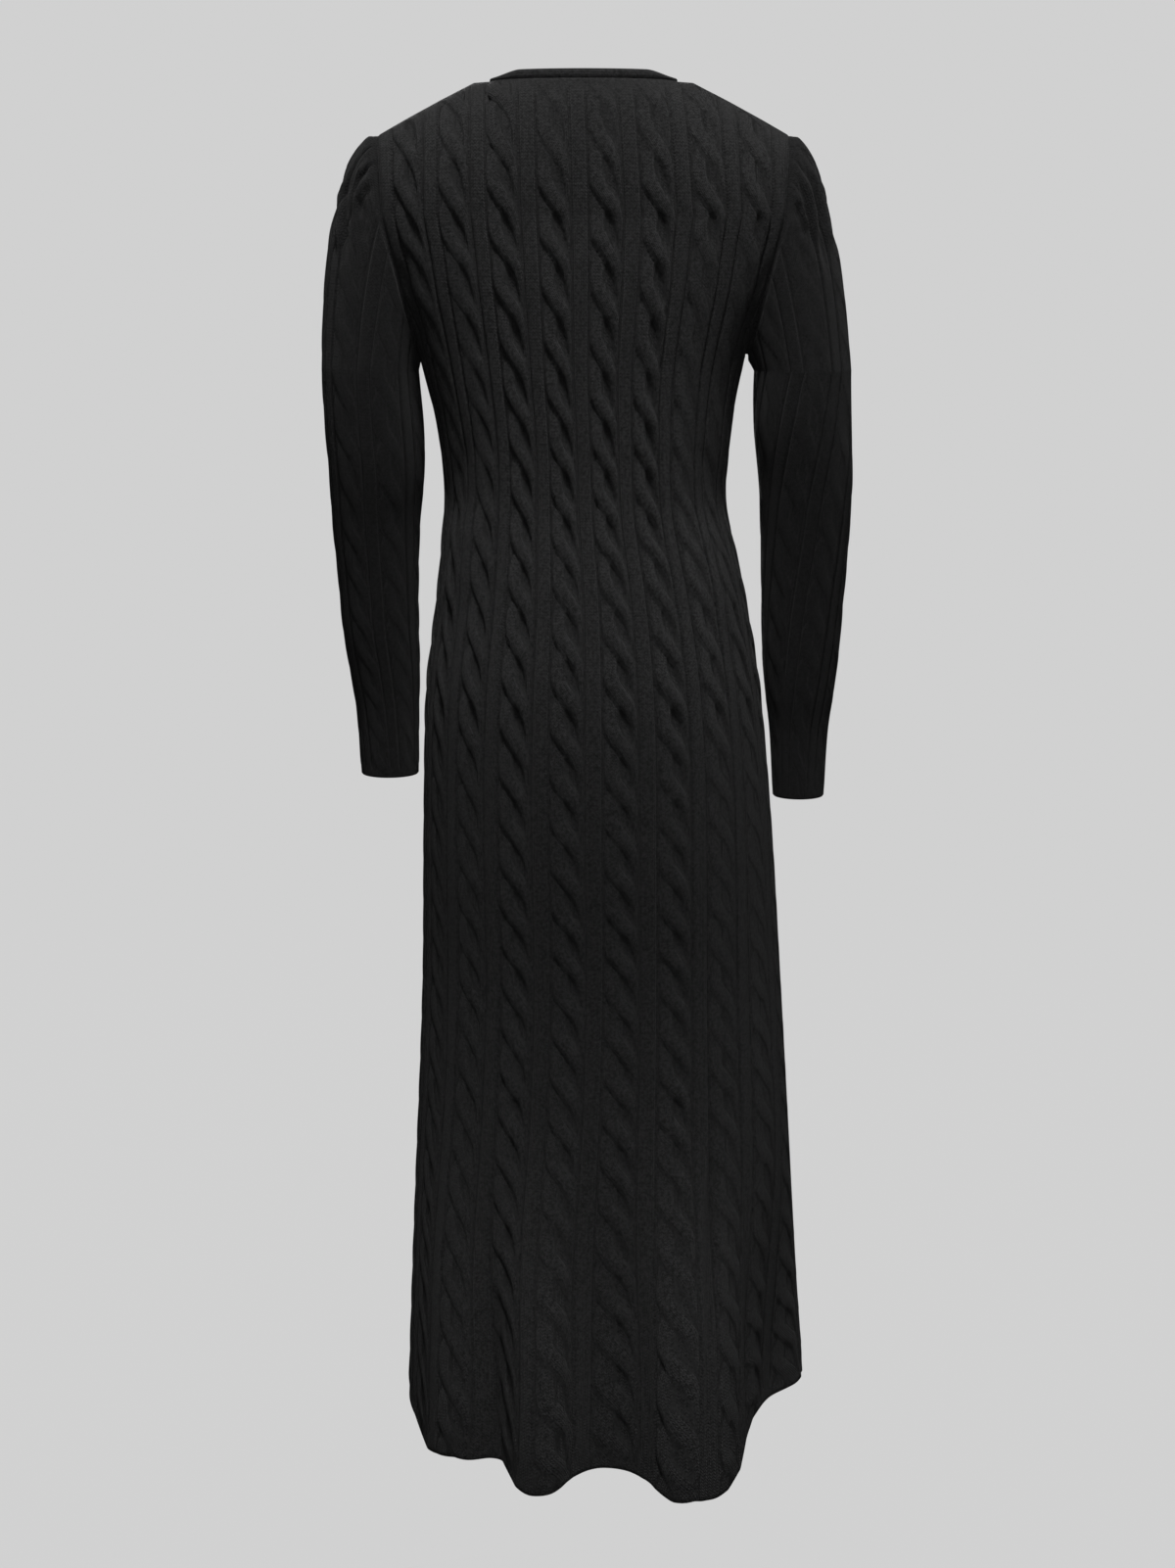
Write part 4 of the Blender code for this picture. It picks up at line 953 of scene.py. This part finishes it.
# ---- pieces
def rolled_edge(points, normal, stitches):
    """Rows that turn the lower edge over to the inside in a soft roll and a narrow facing."""
    rows = []
    uv = []
    for inside, up in ROLL:
        row = points[-1] - normal[-1] * inside
        row[:, 2] += up
        rows.append(row)
        uv.append(stitches[-1] + (0.0, len(rows) * ROLL_STITCHES))
    return np.concatenate((points, rows)), np.concatenate((stitches, uv))


def build_panel(panel):
    points, columns, rows, cloth = panel_grid(panel)
    normal = grid_normals(points, False)
    normal, sign = face_outward(points, normal, np.zeros(3))
    height, groove, cut, across, along = knit_relief(
        columns + uneven(columns, rows, "panel across"),
        rows + uneven(columns, rows, "panel down"))
    aside = soft_step(*SIDE_COLUMNS, np.abs(columns))
    size = RELIEF_TABLE.at("middle", cloth) * (1.0 - aside)
    size += RELIEF_TABLE.at("side", cloth) * aside
    size *= 1.0 + uneven(columns, rows, "panel relief")
    cut *= 1.0 - SIDE_CUT_LOSS * aside
    line = -RELIEF_TABLE.at("line", cloth) * np.maximum(groove, cut)
    bottom = soft_step(*PANEL_BOTTOM_FADE, cloth - HEM_Z)
    top = soft_step(*PANEL_TOP_FADE, cloth[0][None, :] - cloth)
    seam = np.abs(np.abs(columns) - edge_of(cloth)) * REPEAT_MM
    side = soft_step(*SEAM_FADE, seam)
    even = bottom * top * side
    lift = (height * size + line) * even - SEAM_DENT_MM * np.exp(-(seam / SEAM_DENT_HALF) ** 2)
    folded = creases(panel, points[..., 0], points[..., 2])
    # painted shade in the hollows of the relief and in the creases
    painted_light = painted_light_of_lift(lift + CREASE_PAINTED_SHADE * folded)
    lift += FILL_MM * (1.0 - np.minimum(size, 1.0)) * top * side + folded
    shape = points + normal * (lift[..., None] * 0.001)
    dip = np.array(HEM_DIP[panel])
    hang = soft_step(0.0, HEM_DIP_REACH, HEM_Z + HEM_DIP_REACH - shape[..., 2])
    shape[..., 2] -= hang * np.interp(shape[..., 0], dip[:, 0], dip[:, 1])
    stitches = np.stack((across, along), axis=-1)
    shape, stitches = rolled_edge(shape, normal, stitches)
    normal = repeat_last(normal, len(shape))
    painted_light = repeat_last(painted_light, len(shape))
    shape = np.concatenate((shape[:1] - normal[:1] * TURN_IN, shape))
    normal = np.concatenate((normal[:1], normal))
    # painted shade on the turned-in top edge
    painted_light = np.concatenate((TURN_IN_PAINTED_LIGHT * painted_light[:1], painted_light))
    stitches = np.concatenate((stitches[:1] - (0.0, TURN_IN_STITCHES), stitches))
    first, last = [shape[:, edge] - normal[:, edge] * TURN_IN for edge in (0, -1)]
    shape = np.concatenate((first[:, None], shape, last[:, None]), axis=1)
    stitches = np.concatenate((stitches[:, :1], stitches, stitches[:, -1:]), axis=1)
    # painted shade on the turned-in side edges
    turn_in_painted_light = TURN_IN_PAINTED_LIGHT * painted_light
    painted_light = np.concatenate((turn_in_painted_light[:, :1], painted_light, turn_in_painted_light[:, -1:]), axis=1)
    shape, stitches, painted_light = in_order(sign, shape, stitches, painted_light)
    return sheet_object("knit_%s_panel" % panel, shape, stitches, painted_light, False, KNIT)


def build_sleeve(side):
    points, columns, rows, cloth = sleeve_grid(side)
    normal = grid_normals(points, True)
    table = SLEEVE_TABLE[side]
    level = np.minimum(cloth, RING_Z)
    axis = np.stack((table.at("centre_x", level), table.at("centre_y", level)), axis=-1)
    normal, sign = face_outward(points, normal, axis)
    gusset = columns > SLEEVE_CABLES
    height, groove, cut, across, along = knit_relief(
        np.clip(columns + uneven(columns, rows, "sleeve across"), 0.0, SLEEVE_CABLES),
        rows + uneven(columns, rows, "sleeve down"))
    width = np.radians(table.at("pitch", level)) * table.at("radius", level)
    size = np.minimum(1.0, (width * 1000.0 / REPEAT_MM) ** SLEEVE_SLIM)
    bottom = soft_step(*SLEEVE_BOTTOM_FADE, cloth - SLEEVES[side][1][-1][0])
    top = soft_step(*SLEEVE_TOP_FADE, cloth[0][None, :] - cloth)
    height = np.where(gusset, GUSSET_RISE, height) * SLEEVE_RELIEF
    line = -np.where(gusset, 0.0, np.maximum(groove * SLEEVE_GROOVE, cut * SLEEVE_CUT))
    lift = (height + line) * size * bottom * top
    x, z = points[..., 0], points[..., 2]
    behind = soft_step(*SLEEVE_BEHIND, points[..., 1] - axis[..., 1])
    folded = behind * creases(side, x, z)
    folded += (1.0 - behind) * creases(side, x, z + SLEEVE_FRONT_SLIP)
    # painted shade in the hollows of the relief and in the creases
    painted_light = painted_light_of_lift(lift + CREASE_PAINTED_SHADE * folded)
    lift += SLEEVE_FILL_MM * top + folded
    shape = points + normal * (lift[..., None] * 0.001)
    stitches = np.stack((across, along), axis=-1)
    shape, stitches = rolled_edge(shape, normal, stitches)
    painted_light = repeat_last(painted_light, len(shape))
    tucked = shape[:1] * SLEEVE_TUCK - (TURN_IN * OUTWARD[side], 0.0, 0.0)
    shape = np.concatenate((tucked, shape))
    stitches = np.concatenate((stitches[:1] - (0.0, TURN_IN_STITCHES), stitches))
    # painted shade on the turned-in top edge
    painted_light = np.concatenate((TURN_IN_PAINTED_LIGHT * painted_light[:1], painted_light))
    shape, stitches, painted_light = in_order(sign, shape, stitches, painted_light)
    return sheet_object("knit_sleeve_" + side, shape, stitches, painted_light, True, SHADED_SLEEVE_KNIT)


def build_neckband():
    """Rolled band: a soft tube of plain knit on the neckline."""
    columns = np.linspace(-ARMHOLE_REPEATS, ARMHOLE_REPEATS, BAND_TRACE)
    line = np.concatenate([top_points(panel, columns) for panel in ("back", "front")])
    line = line[np.abs(line[:, 0]) <= NECK_X + SAME_PLACE]
    closed = np.concatenate((line, line[:1]))
    lengths = running_length(closed)
    where = np.linspace(0.0, lengths[-1], BAND_POINTS, endpoint=False)
    path = np.stack([np.interp(where, lengths, closed[:, i]) for i in range(3)], axis=1)
    for _ in range(BAND_EVEN_TURNS):
        path = 0.25 * np.roll(path, 1, 0) + 0.5 * path + 0.25 * np.roll(path, -1, 0)
    tangent = unit(np.roll(path, -1, 0) - np.roll(path, 1, 0))
    up = unit(np.array((0.0, 0.0, 1.0)) - tangent * tangent[:, 2:3])
    out = np.cross(tangent, up)
    if np.sum(out[:, :2] * path[:, :2]) < 0.0:
        out = -out
    low_ends = 1.0 - BAND_END_LOSS * soft_step(BAND_END_X, NECK_X, np.abs(path[:, 0]))
    rings = []
    uv = []
    for k in range(BAND_TURNS + 1):
        turn = 2.0 * math.pi * k / BAND_TURNS
        wide = 0.5 * BAND_THICK * math.cos(turn)
        tall = 0.5 * BAND_HEIGHT * (1.0 + math.sin(turn)) * low_ends - BAND_SINK
        swell = 1.0 + uneven(where * BAND_WAVES, where * 0.0 + k, "band")
        rings.append(path + out * (wide * swell - 0.5 * BAND_THICK)[:, None] + up * tall[:, None])
        uv.append(np.stack((where * 1000.0 / BAND_STITCH_MM,
                            np.full(BAND_POINTS, k * BAND_TURN_STITCHES)), axis=1))
    shape = np.stack(rings)
    return sheet_object("knit_neckband", shape, np.stack(uv), np.ones(shape.shape[:2]), True,
                        BAND_KNIT)


back_piece = build_panel("back")
front_piece = build_panel("front")
left_piece = build_sleeve("left")
right_piece = build_sleeve("right")
band_piece = build_neckband()

for piece, node, slot in (
    (back_piece, "back_panel", "knit"), (front_piece, "front_panel", "knit"),
    (left_piece, "sleeve_left", "knit"), (right_piece, "sleeve_right", "knit"),
    (band_piece, "neckband", "neckband"),
):
    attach(piece, "root")
    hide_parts(node)


# ---- stage, light, camera
FLOOR_Z = -1.62
FLOOR_MIDDLE = 0.5  # radius of the one face in the middle of the floor
WALL = 6.0
WALL_TOP_Z = 9.0
BEND = 1.2
BEND_STEPS = 12
AROUND = 96
LIGHTS = (  # name, place, aim, size, watts
    ("key", (-0.12, 1.8, 4.3), (0.0, 0.0, -0.45), (0.95, 0.85), 214.0),
    ("low", (-0.1, 3.4, 0.1), (0.0, 0.0, -1.0), (0.6, 0.6), 18.0),
    ("front", (0.5, -3.2, 0.5), (0.0, 0.0, -0.55), (0.9, 0.9), 62.0),
)
WORLD_LIGHT = 0.035


def stage():
    """One pale sweep all round: floor, soft bend and wall."""
    profile = [(FLOOR_MIDDLE, FLOOR_Z), (WALL - BEND, FLOOR_Z)]
    for k in range(1, BEND_STEPS + 1):
        turn = 0.5 * math.pi * k / BEND_STEPS
        profile.append((WALL - BEND + BEND * math.sin(turn),
                        FLOOR_Z + BEND - BEND * math.cos(turn)))
    profile.append((WALL, WALL_TOP_Z))
    vertices = []
    for reach, z in profile:
        for k in range(AROUND):
            turn = 2.0 * math.pi * k / AROUND
            vertices.append((reach * math.cos(turn), reach * math.sin(turn), z))
    faces = [tuple(range(AROUND))]
    for row in range(len(profile) - 1):
        low = row * AROUND
        for k in range(AROUND):
            beside = (k + 1) % AROUND
            faces.append((low + k, low + beside, low + AROUND + beside, low + AROUND + k))
    mesh = bpy.data.meshes.new("sweep")
    mesh.from_pydata(vertices, [], faces)
    for polygon in mesh.polygons:
        polygon.use_smooth = True
    made = Nodes("pale_paper")
    made.finish(PAPER_FINISH)
    mesh.materials.append(made.material)
    sweep = add_object("sweep", mesh)
    sweep.visible_diffuse = False
    sweep.visible_glossy = False


def soft_light(name, place, aim, size, power):
    data = bpy.data.lights.new(name, "AREA")
    data.shape = "RECTANGLE"
    data.size, data.size_y = size
    data.energy = power
    lamp = add_object(name, data)
    lamp.location = place
    way = Vector(aim) - Vector(place)
    lamp.rotation_euler = way.to_track_quat("-Z", "Y").to_euler()


stage()
for light in LIGHTS:
    soft_light(*light)

world = bpy.data.worlds.new("studio")
world.use_nodes = True
background = world.node_tree.nodes["Background"]
background.inputs["Color"].default_value = (1.0, 1.0, 1.0, 1.0)
background.inputs["Strength"].default_value = WORLD_LIGHT
bpy.context.scene.world = world
bpy.context.scene.view_settings.view_transform = "Standard"

camera_data = bpy.data.cameras.new("camera")
camera_data.sensor_fit = "AUTO"
camera_data.sensor_width = SENSOR
camera_data.lens = FOCAL_PX * SENSOR / max(IMAGE)
camera = add_object("camera", camera_data)
camera.location = CAMERA_PLACE
camera.rotation_euler = (math.radians(90.0 - CAMERA_PITCH), 0.0, math.radians(180.0))
bpy.context.scene.camera = camera
